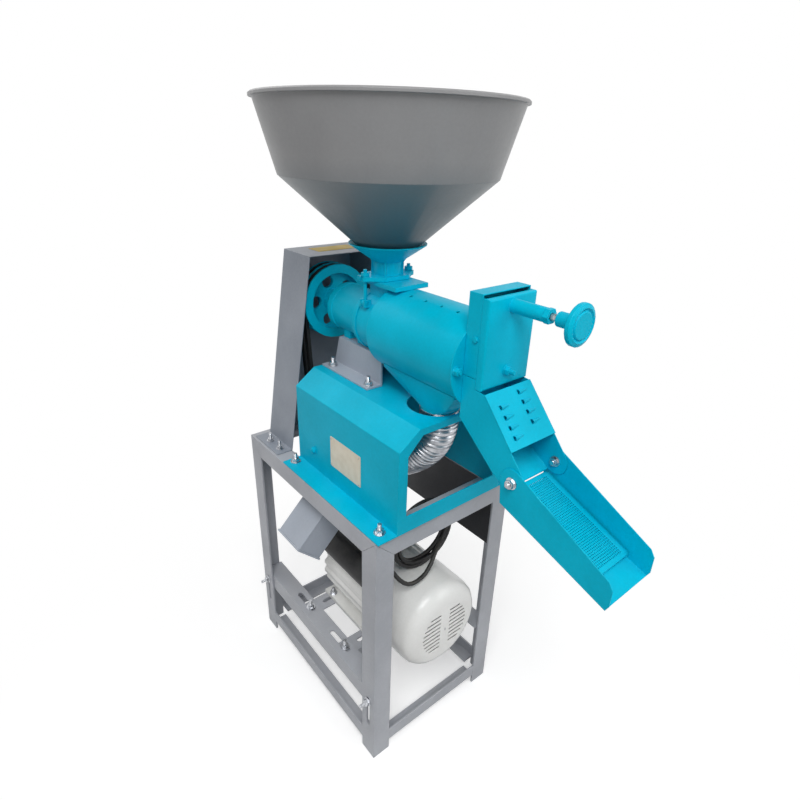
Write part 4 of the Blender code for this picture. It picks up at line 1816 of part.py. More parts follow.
def build_capacitor_cover():
    """The capacitor's rounded cover on the motor's upper left."""
    base = MOTOR_FIN_RADIUS + GAP
    half = CAPACITOR_WIDTH / 2
    top = base + CAPACITOR_HEIGHT
    x, z = half - CAPACITOR_ROUND, top - CAPACITOR_ROUND
    outline = [(-half, base), (half, base)]
    outline += arc((x, z), CAPACITOR_ROUND, 0, math.pi / 2, CORNER_STEPS)
    outline += arc((-x, z), CAPACITOR_ROUND, math.pi / 2, math.pi, CORNER_STEPS)
    low = CAPACITOR_CENTRE - CAPACITOR_LENGTH / 2
    cover = plate("Y", low, low + CAPACITOR_LENGTH, outline)
    turn = Matrix.Rotation(-CAPACITOR_ANGLE, 4, "Y")
    cover.data.transform(Matrix.Translation((0, 0, MOTOR_SHAFT_HEIGHT)) @ turn)
    finish("capacitor_cover", cover, "black_plastic", ROOT)


def terminal_box_corners():
    low = MOTOR_SHAFT_HEIGHT + MOTOR_FIN_RADIUS + GAP
    left = TERMINAL_BOX_X - TERMINAL_BOX_WIDTH / 2
    back = TERMINAL_BOX_CENTRE - TERMINAL_BOX_LENGTH / 2
    high = (left + TERMINAL_BOX_WIDTH, back + TERMINAL_BOX_LENGTH, low + TERMINAL_BOX_HEIGHT)
    return (left, back, low), high


def build_terminal_box():
    """The motor's terminal box with its cord gland."""
    low, high = terminal_box_corners()
    start = (low[0] + GLAND_RADIUS, CORD_ROUTE[0][1], CORD_ROUTE[0][2])
    end = (CORD_ROUTE[0][0] + 3 * GAP, CORD_ROUTE[0][1], CORD_ROUTE[0][2])
    case = box(low, high)
    fuse(case, rod(GLAND_RADIUS, start, end))
    finish("terminal_box", case, "black_plastic", ROOT)


def smooth_route(route, count):
    """Evenly spaced points along a smooth curve through the route's points."""
    ends = [Vector(route[0]) * 2 - Vector(route[1])] + [Vector(p) for p in route]
    ends.append(Vector(route[-1]) * 2 - Vector(route[-2]))
    dense = []
    for p0, p1, p2, p3 in zip(ends, ends[1:], ends[2:], ends[3:]):
        for step in range(ROUTE_STEPS):
            t = step / ROUTE_STEPS
            a = 2 * p1 + (p2 - p0) * t
            b = (2 * p0 - 5 * p1 + 4 * p2 - p3) * t * t
            dense.append((a + b + (3 * p1 - p0 - 3 * p2 + p3) * t**3) / 2)
    dense.append(ends[-2])
    lengths = [0]
    for first, second in zip(dense, dense[1:]):
        lengths.append(lengths[-1] + (second - first).length)
    points = []
    for step in range(count):
        want = lengths[-1] * step / (count - 1)
        index = max(i for i, reached in enumerate(lengths) if reached <= want + PLANE_DISTANCE)
        index = min(index, len(dense) - 2)
        share = (want - lengths[index]) / max(lengths[index + 1] - lengths[index], PLANE_DISTANCE)
        points.append(dense[index].lerp(dense[index + 1], min(share, 1)))
    return points


def coil_height():
    return MOTOR_SHAFT_HEIGHT + FAN_COVER_RADIUS - COIL_SINK + COIL_SECTION + COIL_RADIUS


def build_cord():
    """The lead from the gland, looped over the fan cover and into the coil."""
    lead = tube(smooth_route(CORD_ROUTE, CORD_POINTS), CORD_RADIUS, CORD_ROUNDS)
    finish("cord", lead, "black_rubber", ROOT, smooth=False)
    section = arc((COIL_RADIUS, -COIL_Y), COIL_SECTION, math.pi / 2, -1.5 * math.pi, TINY_STEPS)[:-1]
    finish("cord_coil", lathe(section, (COIL_X, coil_height())), "black_rubber", ROOT)
    top = coil_height() + COIL_RADIUS - COIL_SECTION - PLUG_SEAT
    low = (PLUG_X - PLUG_WIDTH / 2, -COIL_Y - PLUG_DEPTH / 2, top - PLUG_HEIGHT)
    plug = box(low, (PLUG_X + PLUG_WIDTH / 2, PLUG_DEPTH / 2 - COIL_Y, top))
    finish("plug", plug, "cream_plastic", ROOT)


def build_stand():
    for side, name in zip(SIDES, ("side_frame_left", "side_frame_right")):
        build_side_frame(name, side)
    build_top_frame()
    build_low_rails()
    build_motor_platform()
    build_side_panel()
    build_stand_box()
    build_pedestal()


def build_head(spin):
    build_bearing_housing()
    build_rear_cap()
    build_bearings()
    build_main_shaft(spin)
    build_feed_screw(spin)
    build_huller_roller(spin)
    build_feed_casting()
    build_drum_cover()
    build_rice_screens()
    build_end_disc()
    build_feed_funnel()
    build_eye_bolts()
    build_hopper(empty("hopper_lift", (0, -HOPPER_AXIS, FEED_RIM_HEIGHT), ROOT))


def build_bran_way():
    build_bran_funnel()
    build_bran_hose()
    build_hose_clamp()
    build_bran_duct()


def build_rice_way():
    build_discharge_box()
    build_door_cover()
    pin = (0, GATE_PIN_DEPTH - DISCHARGE_FRONT, GATE_PIN_HEIGHT)
    build_pressure_gate(empty("gate_swing", pin, ROOT))
    build_pressure_spring()
    slide = empty("rod_slide", (0, -SPRING_END, TUBE_HEIGHT), ROOT)
    build_spring_seat(slide)
    build_rod_and_knob(empty("knob_turn", (0, -KNOB_HUB_START, TUBE_HEIGHT), slide))
    build_gate_pin()
    build_lock_nut()
    build_upper_chute()
    build_louvre_plate()
    tilt = empty("chute_tilt", (0, -PIVOT_Y, PIVOT_Z), ROOT)
    build_lower_chute(tilt)
    build_chute_screen(tilt)
    build_pivot_rod()


def build_drive(spin, motor_spin):
    build_main_pulley(spin)
    build_v_belts()
    build_motor_pulley(motor_spin)
    build_belt_guard()
    build_motor_body()
    build_fan_cover()
    build_motor_shaft(motor_spin)
    build_capacitor_cover()
    build_terminal_box()


def build_machine():
    spin = empty("shaft_spin", (0, 0, SHAFT_HEIGHT), ROOT)
    motor_spin = empty("motor_spin", (0, 0, MOTOR_SHAFT_HEIGHT), ROOT)
    build_stand()
    build_head(spin)
    build_bran_way()
    build_rice_way()
    build_drive(spin, motor_spin)
    build_cord()
    for helper in CUTTERS.objects:
        helper.parent = ROOT
    ROOT.location.y = (TRAY_TIP_Y - HALF_D) / 2


build_machine()
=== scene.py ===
"""The looks of a rice huller on its angle iron stand: finishes, fasteners, hose, sieve, lead and light."""

import json
import math

import bmesh
import bpy
from mathutils import Matrix, Vector

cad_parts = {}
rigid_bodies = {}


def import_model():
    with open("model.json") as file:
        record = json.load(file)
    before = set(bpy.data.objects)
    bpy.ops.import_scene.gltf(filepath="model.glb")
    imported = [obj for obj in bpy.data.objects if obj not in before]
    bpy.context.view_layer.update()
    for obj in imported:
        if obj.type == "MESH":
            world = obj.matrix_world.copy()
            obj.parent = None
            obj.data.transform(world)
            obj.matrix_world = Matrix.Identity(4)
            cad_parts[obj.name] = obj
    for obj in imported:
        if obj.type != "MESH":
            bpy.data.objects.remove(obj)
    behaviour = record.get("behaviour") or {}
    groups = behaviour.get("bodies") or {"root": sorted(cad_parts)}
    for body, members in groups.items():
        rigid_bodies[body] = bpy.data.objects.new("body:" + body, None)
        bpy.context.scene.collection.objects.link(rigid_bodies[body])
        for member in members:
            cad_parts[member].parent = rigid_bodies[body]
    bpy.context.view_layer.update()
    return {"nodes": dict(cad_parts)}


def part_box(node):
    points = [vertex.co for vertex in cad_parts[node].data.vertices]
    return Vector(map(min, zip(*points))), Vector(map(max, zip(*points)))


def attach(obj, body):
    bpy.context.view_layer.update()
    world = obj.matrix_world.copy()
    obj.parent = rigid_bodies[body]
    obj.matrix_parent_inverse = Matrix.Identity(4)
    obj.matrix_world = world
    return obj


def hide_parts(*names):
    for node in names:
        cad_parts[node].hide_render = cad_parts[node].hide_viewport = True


for leftover in list(bpy.data.objects):
    bpy.data.objects.remove(leftover)
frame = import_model()

# The drawing's zero lies on the stand's middle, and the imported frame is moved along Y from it.
DRAWING_SHIFT_Y = 0.1715

# Camera, as fitted to the photograph
CAMERA_PLACE = (-0.5985, -0.8037, 1.1651)
CAMERA_YAW = 0.6943
CAMERA_PITCH = 0.4422
CAMERA_ROLL = 0.0304
IMAGE_PIXELS = 800
FOCAL_PIXELS = 550.96
SENSOR_WIDTH = 36.0

# Motor lead, its route over the fan cover as in the part's source
LEAD_RADIUS = 0.00425
LEAD_ROUTE = (
    (-0.0650, -0.0620, 0.3975), (-0.0785, -0.0620, 0.3975), (-0.0880, -0.0860, 0.4130),
    (-0.0880, -0.1200, 0.4270), (-0.0870, -0.1500, 0.4290), (-0.0840, -0.1740, 0.4200),
    (-0.0740, -0.1880, 0.4000), (-0.0560, -0.1940, 0.3830), (-0.0350, -0.1950, 0.3790),
    (-0.0120, -0.1930, 0.3830), (0.0080, -0.1880, 0.3950), (0.0240, -0.1800, 0.4060),
    (0.0380, -0.1726, 0.4100),
)
LEAD_POINTS = 26
COIL_CENTRE = (0.010, -0.155, 0.4496)
COIL_RADIUS = 0.0684
COIL_SPACING = 0.0090
COIL_START = math.radians(-25)
COIL_END = math.radians(-10)
COIL_TURNS = 4
COIL_STEPS = 36
COIL_SWAP_SHARE = 0.8
COIL_PHASE = math.radians(225)
COIL_PULL = 0.036
COIL_ENTRY_STEPS = 7
TAIL_PULL = 0.066
TAIL_STEPS = 12
ROUTE_STEPS = 8

# Plug: its stepped sections as place and share of the full section, its strain relief and its pins
PLUG_MIDDLE = (-0.003, -0.155, 0.4778)
PLUG_HALF = (0.0150, 0.0100, 0.0160)
PLUG_ENTRY_X = 0.034
PLUG_SEAT = 0.004
PLUG_CORNER_POWER = 0.56
PLUG_STEPS = 32
PLUG_SECTIONS = (
    (-PLUG_HALF[0], 0.94), (-PLUG_HALF[0] + 0.0012, 1.0), (0.002, 1.0), (0.0035, 0.90), (0.0055, 0.90),
    (0.0065, 0.96), (0.0080, 0.88), (0.0100, 0.94), (0.0112, 0.84), (PLUG_HALF[0], 0.62),
)
RELIEF_LENGTH = 0.022
RELIEF_RIBS = 7
RELIEF_RADIUS = 0.0066
RELIEF_TAPER = 0.0018
RELIEF_GROOVE = 0.0006
PIN_SECTIONS = (
    (-PLUG_HALF[0] + 0.001, 0.0031, 0.0008), (-PLUG_HALF[0] - 0.0150, 0.0031, 0.0008),
    (-PLUG_HALF[0] - 0.0165, 0.0020, 0.0004),
)
PIN_OFFSET = 0.0063

# Bran hose, its middle line as in the part's source
HOSE_RADIUS = 0.0355
HOSE_SHEET = 0.0008
HOSE_TOP = (0, -0.192, 0.7382)
HOSE_STRAIGHT = 0.006
HOSE_TOP_REACH = 0.125
HOSE_DUCT_REACH = 0.080
DUCT_MOUTH = (-0.1794, 0.0128, 0.4036)
DUCT_TO_HOSE = 0.1573
HOSE_RIB_PITCH = 0.0082
HOSE_RIB_DEPTH = 0.0042
HOSE_STEPS = 24

# Sieve on the lower chute
SIEVE_BACK = (-0.3885, 0.7032)
SIEVE_FRONT = (-0.5414, 0.6446)
SIEVE_HALF_WIDTH = 0.0475
SIEVE_SHEET = 0.0012
SIEVE_EDGE = 0.0045
SIEVE_PITCH = 0.0036
SIEVE_HOLE = 0.0010
SIEVE_TURN_UP = 0.0030
SIEVE_TURN_DOWN = 0.0042

# Bolts of the lower chute, on its pivot
PIVOT_PLACE = (-0.4009, 0.7274)
PIVOT_NUT_SEAT = 0.0525
PIVOT_HEAD_SEAT = 0.0484

# Lock nut
LOCK_NUT_BORE = 0.0070
LOCK_NUT_HEIGHT = 0.9605

# The bran funnel's folded wall: where its inner corners lie and how far they are drawn in
FUNNEL_FOLD_TOP = 0.8066
FUNNEL_TOP_HALF_WIDTH = 0.0492
FUNNEL_TOP_HALF_DEPTH = 0.0864
FUNNEL_TOP_Y = -0.0133
FUNNEL_FOLD_LOW = 0.754
FUNNEL_LOW_RADIUS = 0.0327
FUNNEL_LOW_Y = -0.0205
FUNNEL_REACH = 0.0025
FUNNEL_DRAW = 0.0038

# Ways that the fasteners face
UP = (0, 0, 1)
LEFT = (-1, 0, 0)
RIGHT = (1, 0, 0)
FORWARD = (0, -1, 0)

# Places of the fasteners, as in the part's source
STAND_BOLT_X = 0.1435
BOX_BOLT_YS = (-0.214, 0.070)
BOX_BOLT_Z = 0.5633
GUARD_BOLT_YS = (0.138, 0.180)
GUARD_BOLT_Z = 0.5618
PEDESTAL_BOLT_X = 0.054
PEDESTAL_BOLT_YS = (0.060, -0.058)
PEDESTAL_BOLT_Z = 0.7573
MOTOR_BOLT_YS = (0.049, -0.092)
RAIL_BOLT_X = 0.1387
RAIL_BOLT_Z = 0.1775
MOTOR_BOLT_X = 0.0765
MOTOR_BOLT_Z = 0.1825
LEG_BOLT_X = 0.165
LEG_BOLT_YS = (-0.2125, 0.2125)
LEG_BOLT_Z = 0.155
DISC_BOLT_X = 0.0648
DISC_BOLT_Y = -0.287
DISC_BOLT_Z = 0.864
DOOR_STUD_PLACE = (0, -0.326, 0.8636)
BOX_SIDE_X = 0.125
BOX_SIDE_Y = 0.024
BOX_SIDE_Z = 0.606
FAN_SCREW_PLACE = (0, -0.2475, 0.2735)

# Sizes of the fasteners, and the seed that turns each set's nuts at random
BOX_NUT = {"Washer Radius": 0.0105, "Nut Radius": 0.0078, "Stud Length": 0.0190, "Seed": 3}
GUARD_NUT = {
    "Washer Radius": 0.0080, "Nut Radius": 0.0062, "Nut Height": 0.0050, "Stud Radius": 0.0032,
    "Stud Length": 0.0190, "Seed": 5,
}
PEDESTAL_NUT = {"Washer Radius": 0.0092, "Nut Radius": 0.0076, "Stud Length": 0.0175, "Seed": 8}
RAIL_NUT = {"Washer Radius": 0.0100, "Stud Length": 0.0190, "Seed": 11}
MOTOR_NUT = {"Washer Radius": 0.0088, "Nut Radius": 0.0070, "Stud Length": 0.0160, "Seed": 13}
LEG_NUT = {"Washer Radius": 0.0095, "Nut Radius": 0.0074, "Stud Length": 0.0195, "Seed": 17}
DISC_NUT = {"Washer Radius": 0.0078, "Nut Radius": 0.0070, "Stud Length": 0.0105, "Seed": 19}
DOOR_NUT = {"Washer Radius": 0.0086, "Nut Radius": 0.0072, "Stud Length": 0.0165, "Seed": 23}
BOX_SIDE_NUT = {
    "Washer Radius": 0.0080, "Nut Radius": 0.0062, "Nut Height": 0.0045, "Stud Radius": 0.0030,
    "Stud Length": 0.0075, "Seed": 29,
}
PIVOT_NUT = {
    "Washer Radius": 0.0092, "Nut Radius": 0.0074, "Nut Height": 0.0060, "Stud Length": 0.0115, "Seed": 31,
}
PIVOT_HEAD = {
    "Washer Radius": 0.0086, "Nut Radius": 0.0070, "Nut Height": 0.0052, "Stud Length": 0.0085, "Seed": 37,
}
FAN_SCREW = {"Head Radius": 0.0042, "Head Height": 0.0020}
RIVET = {"Head Radius": 0.0034, "Head Height": 0.0018, "Slot Width": 0.0004}

# Bare nameplate on the stand box
NAMEPLATE_LOW = (-0.1253, -0.134, 0.6025)
NAMEPLATE_HIGH = (-0.1253, -0.037, 0.666)
NAMEPLATE_CORNER = 0.003
NAMEPLATE_SHEET = 0.0007
NAMEPLATE_ROUNDING = 0.0002
RIVET_INSET = 0.0045

# Blank label on the guard's top
LABEL_LEFT = -0.022
LABEL_RIGHT = 0.070
LABEL_INSET = 0.0340
LABEL_WIDTH = 0.0420
LABEL_CORNER = 0.002
LABEL_SHEET = 0.0004
LABEL_SINK = 0.0001
PLATE_CORNER_STEPS = 5

# Smooth shading, and the merging of a CAD node's copy
SMOOTH_ANGLE = math.radians(32)
PLUG_SMOOTH_ANGLE = math.radians(40)
HOSE_SMOOTH_ANGLE = math.radians(80)
MERGE_DISTANCE = 1e-6
FLAT_ANGLE = math.radians(0.4)
EDGE_DISTANCE = 1e-5
POINT_DISTANCE = 1e-7
WELD_DISTANCE = 0.00005

# Width of the corners that are broken on each node's copy
ROUNDINGS = {
    "stand_box": 0.0010, "belt_guard": 0.0010, "discharge_box": 0.0008, "door_cover": 0.0008,
    "pedestal": 0.0008, "hand_knob": 0.0009, "capacitor_cover": 0.0020, "terminal_box": 0.0010,
    "bran_duct": 0.0006, "lower_chute": 0.0004, "upper_chute": 0.0004, "top_frame": 0.0007,
    "side_frame_left": 0.0007, "side_frame_right": 0.0007, "low_rail_front": 0.0006,
    "low_rail_rear": 0.0006, "motor_rail_left": 0.0006, "motor_rail_right": 0.0006,
    "cross_rail_front": 0.0006, "cross_rail_rear": 0.0006, "feed_casting": 0.0010,
    "bearing_housing": 0.0010, "lock_nut": 0.0004, "drum_end_disc": 0.0005, "side_panel": 0.0003,
}

# Nodes whose smooth shading ends at another angle
SHADE_ANGLES = {
    "louvre_plate": math.radians(8), "lock_nut": math.radians(20), "bran_funnel": math.radians(50),
}

# Nodes whose flat faces stay in triangles, because their outlines run through holes
KEPT_TRIANGLES = {"louvre_plate"}

# Nodes that a piece of its own replaces
OWN_PIECE = {"cord", "cord_coil", "plug", "bran_hose", "chute_screen", "pivot_rod"}

# Heights between which the hopper's colour darkens downwards: a painted shade, tinted teal as a painted
# reflection of the machine below
HOPPER_PAINTED_SHADE_LOW = 1.02
HOPPER_PAINTED_SHADE_TOP = 1.14

# Floor, world and lamps: each lamp's name, place, target, size and power
FLOOR_HALF = 9.0
FLOOR_NEAR = 0.25
FLOOR_FAR = 0.95
FLOOR_LIFT = 0.36
FLOOR_BOUNCE = (0.50, 0.50, 0.50, 1.0)
WHITE = (1, 1, 1, 1)
WORLD_LIGHT = 0.30
LAMPS = (
    ("key_lamp", (-1.2, -1.3, 2.9), (0, 0, 0.7), 1.4, 46.0),
    ("fill_lamp", (1.2, -2.0, 2.0), (0, 0, 0.6), 1.6, 16.0),
    ("back_lamp", (-0.6, 2.2, 2.4), (0, 0, 0.7), 1.6, 12.0),
)


def at(x, y, z):
    """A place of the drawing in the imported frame."""
    return Vector((x, y + DRAWING_SHIFT_Y, z))


def set_camera():
    """The photograph's viewpoint, turned by its yaw, pitch and roll."""
    forward = Vector(
        (
            math.sin(CAMERA_YAW) * math.cos(CAMERA_PITCH),
            math.cos(CAMERA_YAW) * math.cos(CAMERA_PITCH),
            -math.sin(CAMERA_PITCH),
        )
    )
    level = forward.cross(Vector((0, 0, 1))).normalized()
    above = level.cross(forward)
    right = level * math.cos(CAMERA_ROLL) + above * math.sin(CAMERA_ROLL)
    up = above * math.cos(CAMERA_ROLL) - level * math.sin(CAMERA_ROLL)
    lens = bpy.data.cameras.new("photo_camera")
    lens.sensor_width = SENSOR_WIDTH
    lens.lens = FOCAL_PIXELS * SENSOR_WIDTH / IMAGE_PIXELS
    camera = bpy.data.objects.new("photo_camera", lens)
    turned = Matrix((right, up, -forward)).transposed().to_4x4()
    camera.matrix_world = Matrix.Translation(at(*CAMERA_PLACE)) @ turned
    bpy.context.scene.collection.objects.link(camera)
    bpy.context.scene.camera = camera


def srgb(red, green, blue):
    """A paint chip's 0 to 255 values as the linear colour that shaders take."""
    linear = []
    for level in (red, green, blue):
        share = level / 255
        linear.append(share / 12.92 if share <= 0.04045 else ((share + 0.055) / 1.055) ** 2.4)
    return (*linear, 1.0)


def add(tree, kind, values=None, **settings):
    """A node with its settings made, and its inputs set or linked."""
    node = tree.nodes.new(kind)
    for key, value in settings.items():
        setattr(node, key, value)
    for key, value in (values or {}).items():
        if isinstance(value, bpy.types.NodeSocket):
            tree.links.new(value, node.inputs[key])
        else:
            node.inputs[key].default_value = value
    return node


def maths(tree, operation, first, second=0.0):
    return add(tree, "ShaderNodeMath", {0: first, 1: second}, operation=operation).outputs[0]


def ramped(tree, value, low, high, to_low=0.0, to_high=1.0):
    """value from low to high, put on the span from to_low to to_high."""
    values = {"Value": value, "From Min": low, "From Max": high, "To Min": to_low, "To Max": to_high}
    return add(tree, "ShaderNodeMapRange", values).outputs["Result"]


# Shader groups that several finishes share


def effect(name, inputs, outputs):
    """An empty shader group with named sockets."""
    tree = bpy.data.node_groups.new(name, "ShaderNodeTree")
    for label, value in inputs:
        socket = tree.interface.new_socket(label, in_out="INPUT", socket_type="NodeSocketFloat")
        socket.default_value = value
    for label, kind in outputs:
        tree.interface.new_socket(label, in_out="OUTPUT", socket_type=kind)
    return tree, tree.nodes.new("NodeGroupInput").outputs, tree.nodes.new("NodeGroupOutput").inputs


def worn_edges():
    """Where paint is rubbed off corners, and a normal that rounds them."""
    inputs = (("Edge Width", 0.0015), ("Patch Scale", 60.0), ("Patchiness", 0.5))
    outputs = (("Mask", "NodeSocketFloat"), ("Round Normal", "NodeSocketVector"))
    tree, given, result = effect("worn_edges", inputs, outputs)
    rounded = add(tree, "ShaderNodeBevel", {"Radius": given["Edge Width"]}, samples=4)
    true_normal = add(tree, "ShaderNodeNewGeometry").outputs["Normal"]
    facing = add(
        tree, "ShaderNodeVectorMath", {0: rounded.outputs[0], 1: true_normal}, operation="DOT_PRODUCT"
    ).outputs["Value"]
    edge = ramped(tree, facing, 0.985, 0.86)
    place = add(tree, "ShaderNodeTexCoord").outputs["Object"]
    noise = {"Vector": place, "Scale": given["Patch Scale"], "Detail": 5.0, "Roughness": 0.65}
    patches = add(tree, "ShaderNodeTexNoise", noise).outputs["Fac"]
    threshold = ramped(tree, patches, given["Patchiness"], maths(tree, "ADD", given["Patchiness"], 0.14))
    tree.links.new(maths(tree, "MULTIPLY", edge, threshold), result["Mask"])
    tree.links.new(rounded.outputs[0], result["Round Normal"])
    return tree


def mottling():
    """Soft clouds and fine grain in one value, low to high."""
    inputs = (("Cloud Scale", 9.0), ("Grain Scale", 220.0), ("Low", 0.0), ("High", 1.0))
    tree, given, result = effect("mottling", inputs, (("Value", "NodeSocketFloat"),))
    place = add(tree, "ShaderNodeTexCoord").outputs["Object"]
    clouds = add(tree, "ShaderNodeTexNoise", {"Vector": place, "Scale": given["Cloud Scale"], "Detail": 3.0})
    grain = add(tree, "ShaderNodeTexNoise", {"Vector": place, "Scale": given["Grain Scale"], "Detail": 2.0})
    both = maths(tree, "ADD", maths(tree, "MULTIPLY", clouds.outputs["Fac"], 0.75),
                 maths(tree, "MULTIPLY", grain.outputs["Fac"], 0.25))
    tree.links.new(ramped(tree, both, 0.36, 0.64, given["Low"], given["High"]), result["Value"])
    return tree


def settled_dust():
    """Flour dust that settles on faces turned upwards, thicker in patches."""
    inputs = (("Amount", 0.3), ("Patch Scale", 14.0))
    tree, given, result = effect("settled_dust", inputs, (("Mask", "NodeSocketFloat"),))
    place = add(tree, "ShaderNodeTexCoord").outputs["Object"]
    normal = add(tree, "ShaderNodeNewGeometry").outputs["Normal"]
    upwards = add(tree, "ShaderNodeSeparateXYZ", {0: normal}).outputs["Z"]
    level = ramped(tree, upwards, 0.35, 1.0)
    noise = {"Vector": place, "Scale": given["Patch Scale"], "Detail": 6.0, "Roughness": 0.7}
    patches = add(tree, "ShaderNodeTexNoise", noise).outputs["Fac"]
    mask = maths(tree, "MULTIPLY", level, ramped(tree, patches, 0.42, 0.75))
    tree.links.new(maths(tree, "MULTIPLY", mask, given["Amount"]), result["Mask"])
    return tree


def sprayed_skin():
    """Height of sprayed paint: fine orange peel over slow waves."""
    inputs = (("Peel Scale", 420.0), ("Wave Scale", 26.0), ("Wave Share", 0.5))
    tree, given, result = effect("sprayed_skin", inputs, (("Height", "NodeSocketFloat"),))
    place = add(tree, "ShaderNodeTexCoord").outputs["Object"]
    peel = add(tree, "ShaderNodeTexNoise", {"Vector": place, "Scale": given["Peel Scale"], "Detail": 2.0})
    waves = add(tree, "ShaderNodeTexNoise", {"Vector": place, "Scale": given["Wave Scale"], "Detail": 1.0})
    slow = maths(tree, "MULTIPLY", waves.outputs["Fac"], given["Wave Share"])
    tree.links.new(maths(tree, "ADD", peel.outputs["Fac"], slow), result["Height"])
    return tree


def fine_scratches():
    """Thin handling scratches as a mask."""
    inputs = (("Scale", 30.0), ("Amount", 0.3))
    tree, given, result = effect("fine_scratches", inputs, (("Mask", "NodeSocketFloat"),))
    place = add(tree, "ShaderNodeTexCoord").outputs["Object"]
    slant = {"Vector": place, "Rotation": (0.5, 0.7, 0.3), "Scale": (1.0, 0.06, 1.0)}
    turned = add(tree, "ShaderNodeMapping", slant).outputs[0]
    noise = {"Vector": turned, "Scale": given["Scale"], "Detail": 8.0, "Roughness": 0.8}
    lines = add(tree, "ShaderNodeTexNoise", noise).outputs["Fac"]
    thin = ramped(tree, lines, 0.70, 0.76)
    tree.links.new(maths(tree, "MULTIPLY", thin, given["Amount"]), result["Mask"])
    return tree


EDGES = worn_edges()
MOTTLE = mottling()
DUST = settled_dust()
SKIN = sprayed_skin()
SCRATCHES = fine_scratches()


def group(tree, made, **values):
    """One of the shared groups in a finish. Its sockets are named with _ for a space."""
    node = tree.nodes.new("ShaderNodeGroup")
    node.node_tree = made
    for key, value in values.items():
        node.inputs[key.replace("_", " ")].default_value = value
    return node.outputs


def mixed(tree, share, first, second):
    """Two colours mixed by a share."""
    node = add(tree, "ShaderNodeMix", data_type="RGBA")
    for index, value in ((0, share), (6, first), (7, second)):
        if isinstance(value, bpy.types.NodeSocket):
            tree.links.new(value, node.inputs[index])
        else:
            node.inputs[index].default_value = value
    return node.outputs[2]


def blank_finish(name):
    """A new material with its one shader, and the shader's settings left as they come."""
    material = bpy.data.materials.new(name)
    material.use_nodes = True
    tree = material.node_tree
    tree.nodes.clear()
    shader = tree.nodes.new("ShaderNodeBsdfPrincipled")
    output = tree.nodes.new("ShaderNodeOutputMaterial")
    tree.links.new(shader.outputs[0], output.inputs["Surface"])
    return material, tree, shader


def bumped(tree, height, normal, strength, distance):
    """A normal roughened by a height."""
    values = {"Height": height, "Normal": normal, "Strength": strength, "Distance": distance}
    return add(tree, "ShaderNodeBump", values).outputs[0]


def paint(
    name, colour, deep, under, rough=0.35, coat=0.3, shine=0.4, metal=0.0, peel=420.0, bump=0.05,
    wear=0.52, dust=0.12,
):
    """Sprayed paint on steel: clouded colour, rubbed corners, scratches, orange peel and settled dust."""
    material, tree, shader = blank_finish(name)
    edges = group(tree, EDGES, Patchiness=wear)
    clouds = group(tree, MOTTLE)["Value"]
    settled = group(tree, DUST, Amount=dust)["Mask"]
    marks = group(tree, SCRATCHES)["Mask"]
    body = mixed(tree, clouds, colour, deep)
    scratched = mixed(tree, maths(tree, "MULTIPLY", marks, 0.30), body, under)
    rubbed = mixed(tree, edges["Mask"], scratched, under)
    tree.links.new(mixed(tree, settled, rubbed, srgb(205, 198, 180)), shader.inputs["Base Color"])
    uneven = ramped(tree, clouds, 0.0, 1.0, rough, rough + 0.10)
    dusty = maths(tree, "ADD", uneven, maths(tree, "MULTIPLY", settled, 0.5))
    tree.links.new(dusty, shader.inputs["Roughness"])
    bare = maths(tree, "MAXIMUM", maths(tree, "MULTIPLY", edges["Mask"], 0.8), metal)
    tree.links.new(bare, shader.inputs["Metallic"])
    shader.inputs["Coat Weight"].default_value = coat
    shader.inputs["Specular IOR Level"].default_value = shine
    shader.inputs["Coat Roughness"].default_value = 0.18
    height = group(tree, SKIN, Peel_Scale=peel)["Height"]
    skin = bumped(tree, height, edges["Round Normal"], bump, 0.001)
    tree.links.new(skin, shader.inputs["Normal"])
    return material


def bare_metal(
    name, colour, deep, rough=0.28, grain=(1.0, 1.0, 1.0), grain_scale=300.0, bump=0.15, metal=1.0
):
    """Unpainted metal with its working marks: turned, rolled, brushed or plated."""
    material, tree, shader = blank_finish(name)
    place = add(tree, "ShaderNodeTexCoord").outputs["Object"]
    drawn = add(tree, "ShaderNodeMapping", {"Vector": place, "Scale": grain})
    lines = add(
        tree, "ShaderNodeTexNoise", {"Vector": drawn.outputs[0], "Scale": grain_scale, "Detail": 4.0}
    ).outputs["Fac"]
    clouds = group(tree, MOTTLE, Cloud_Scale=70.0, Grain_Scale=900.0)["Value"]
    edges = group(tree, EDGES, Edge_Width=0.0006, Patchiness=0.40)
    tone = mixed(tree, clouds, colour, deep)
    streaked = mixed(tree, ramped(tree, lines, 0.35, 0.75, 0.0, 0.35), tone, deep)
    bright = mixed(tree, maths(tree, "MULTIPLY", edges["Mask"], 0.7), streaked, colour)
    tree.links.new(bright, shader.inputs["Base Color"])
    tree.links.new(ramped(tree, clouds, 0.0, 1.0, rough, rough + 0.16), shader.inputs["Roughness"])
    shader.inputs["Metallic"].default_value = metal
    skin = bumped(tree, lines, edges["Round Normal"], bump, 0.0005)
    tree.links.new(skin, shader.inputs["Normal"])
    return material


def moulded(name, colour, deep, rough=0.5, grain=700.0, bump=0.08, dust=0.15):
    """Moulded plastic or rubber with a fine grain and a little dust."""
    material, tree, shader = blank_finish(name)
    clouds = group(tree, MOTTLE, Cloud_Scale=24.0)["Value"]
    settled = group(tree, DUST, Amount=dust, Patch_Scale=30.0)["Mask"]
    edges = group(tree, EDGES, Edge_Width=0.0010, Patchiness=0.55)
    tone = mixed(tree, clouds, colour, deep)
    tree.links.new(mixed(tree, settled, tone, srgb(170, 165, 152)), shader.inputs["Base Color"])
    tree.links.new(ramped(tree, clouds, 0.0, 1.0, rough, rough + 0.15), shader.inputs["Roughness"])
    height = group(tree, SKIN, Peel_Scale=grain, Wave_Share=0.1)["Height"]
    skin = bumped(tree, height, edges["Round Normal"], bump, 0.0005)
    tree.links.new(skin, shader.inputs["Normal"])
    return material


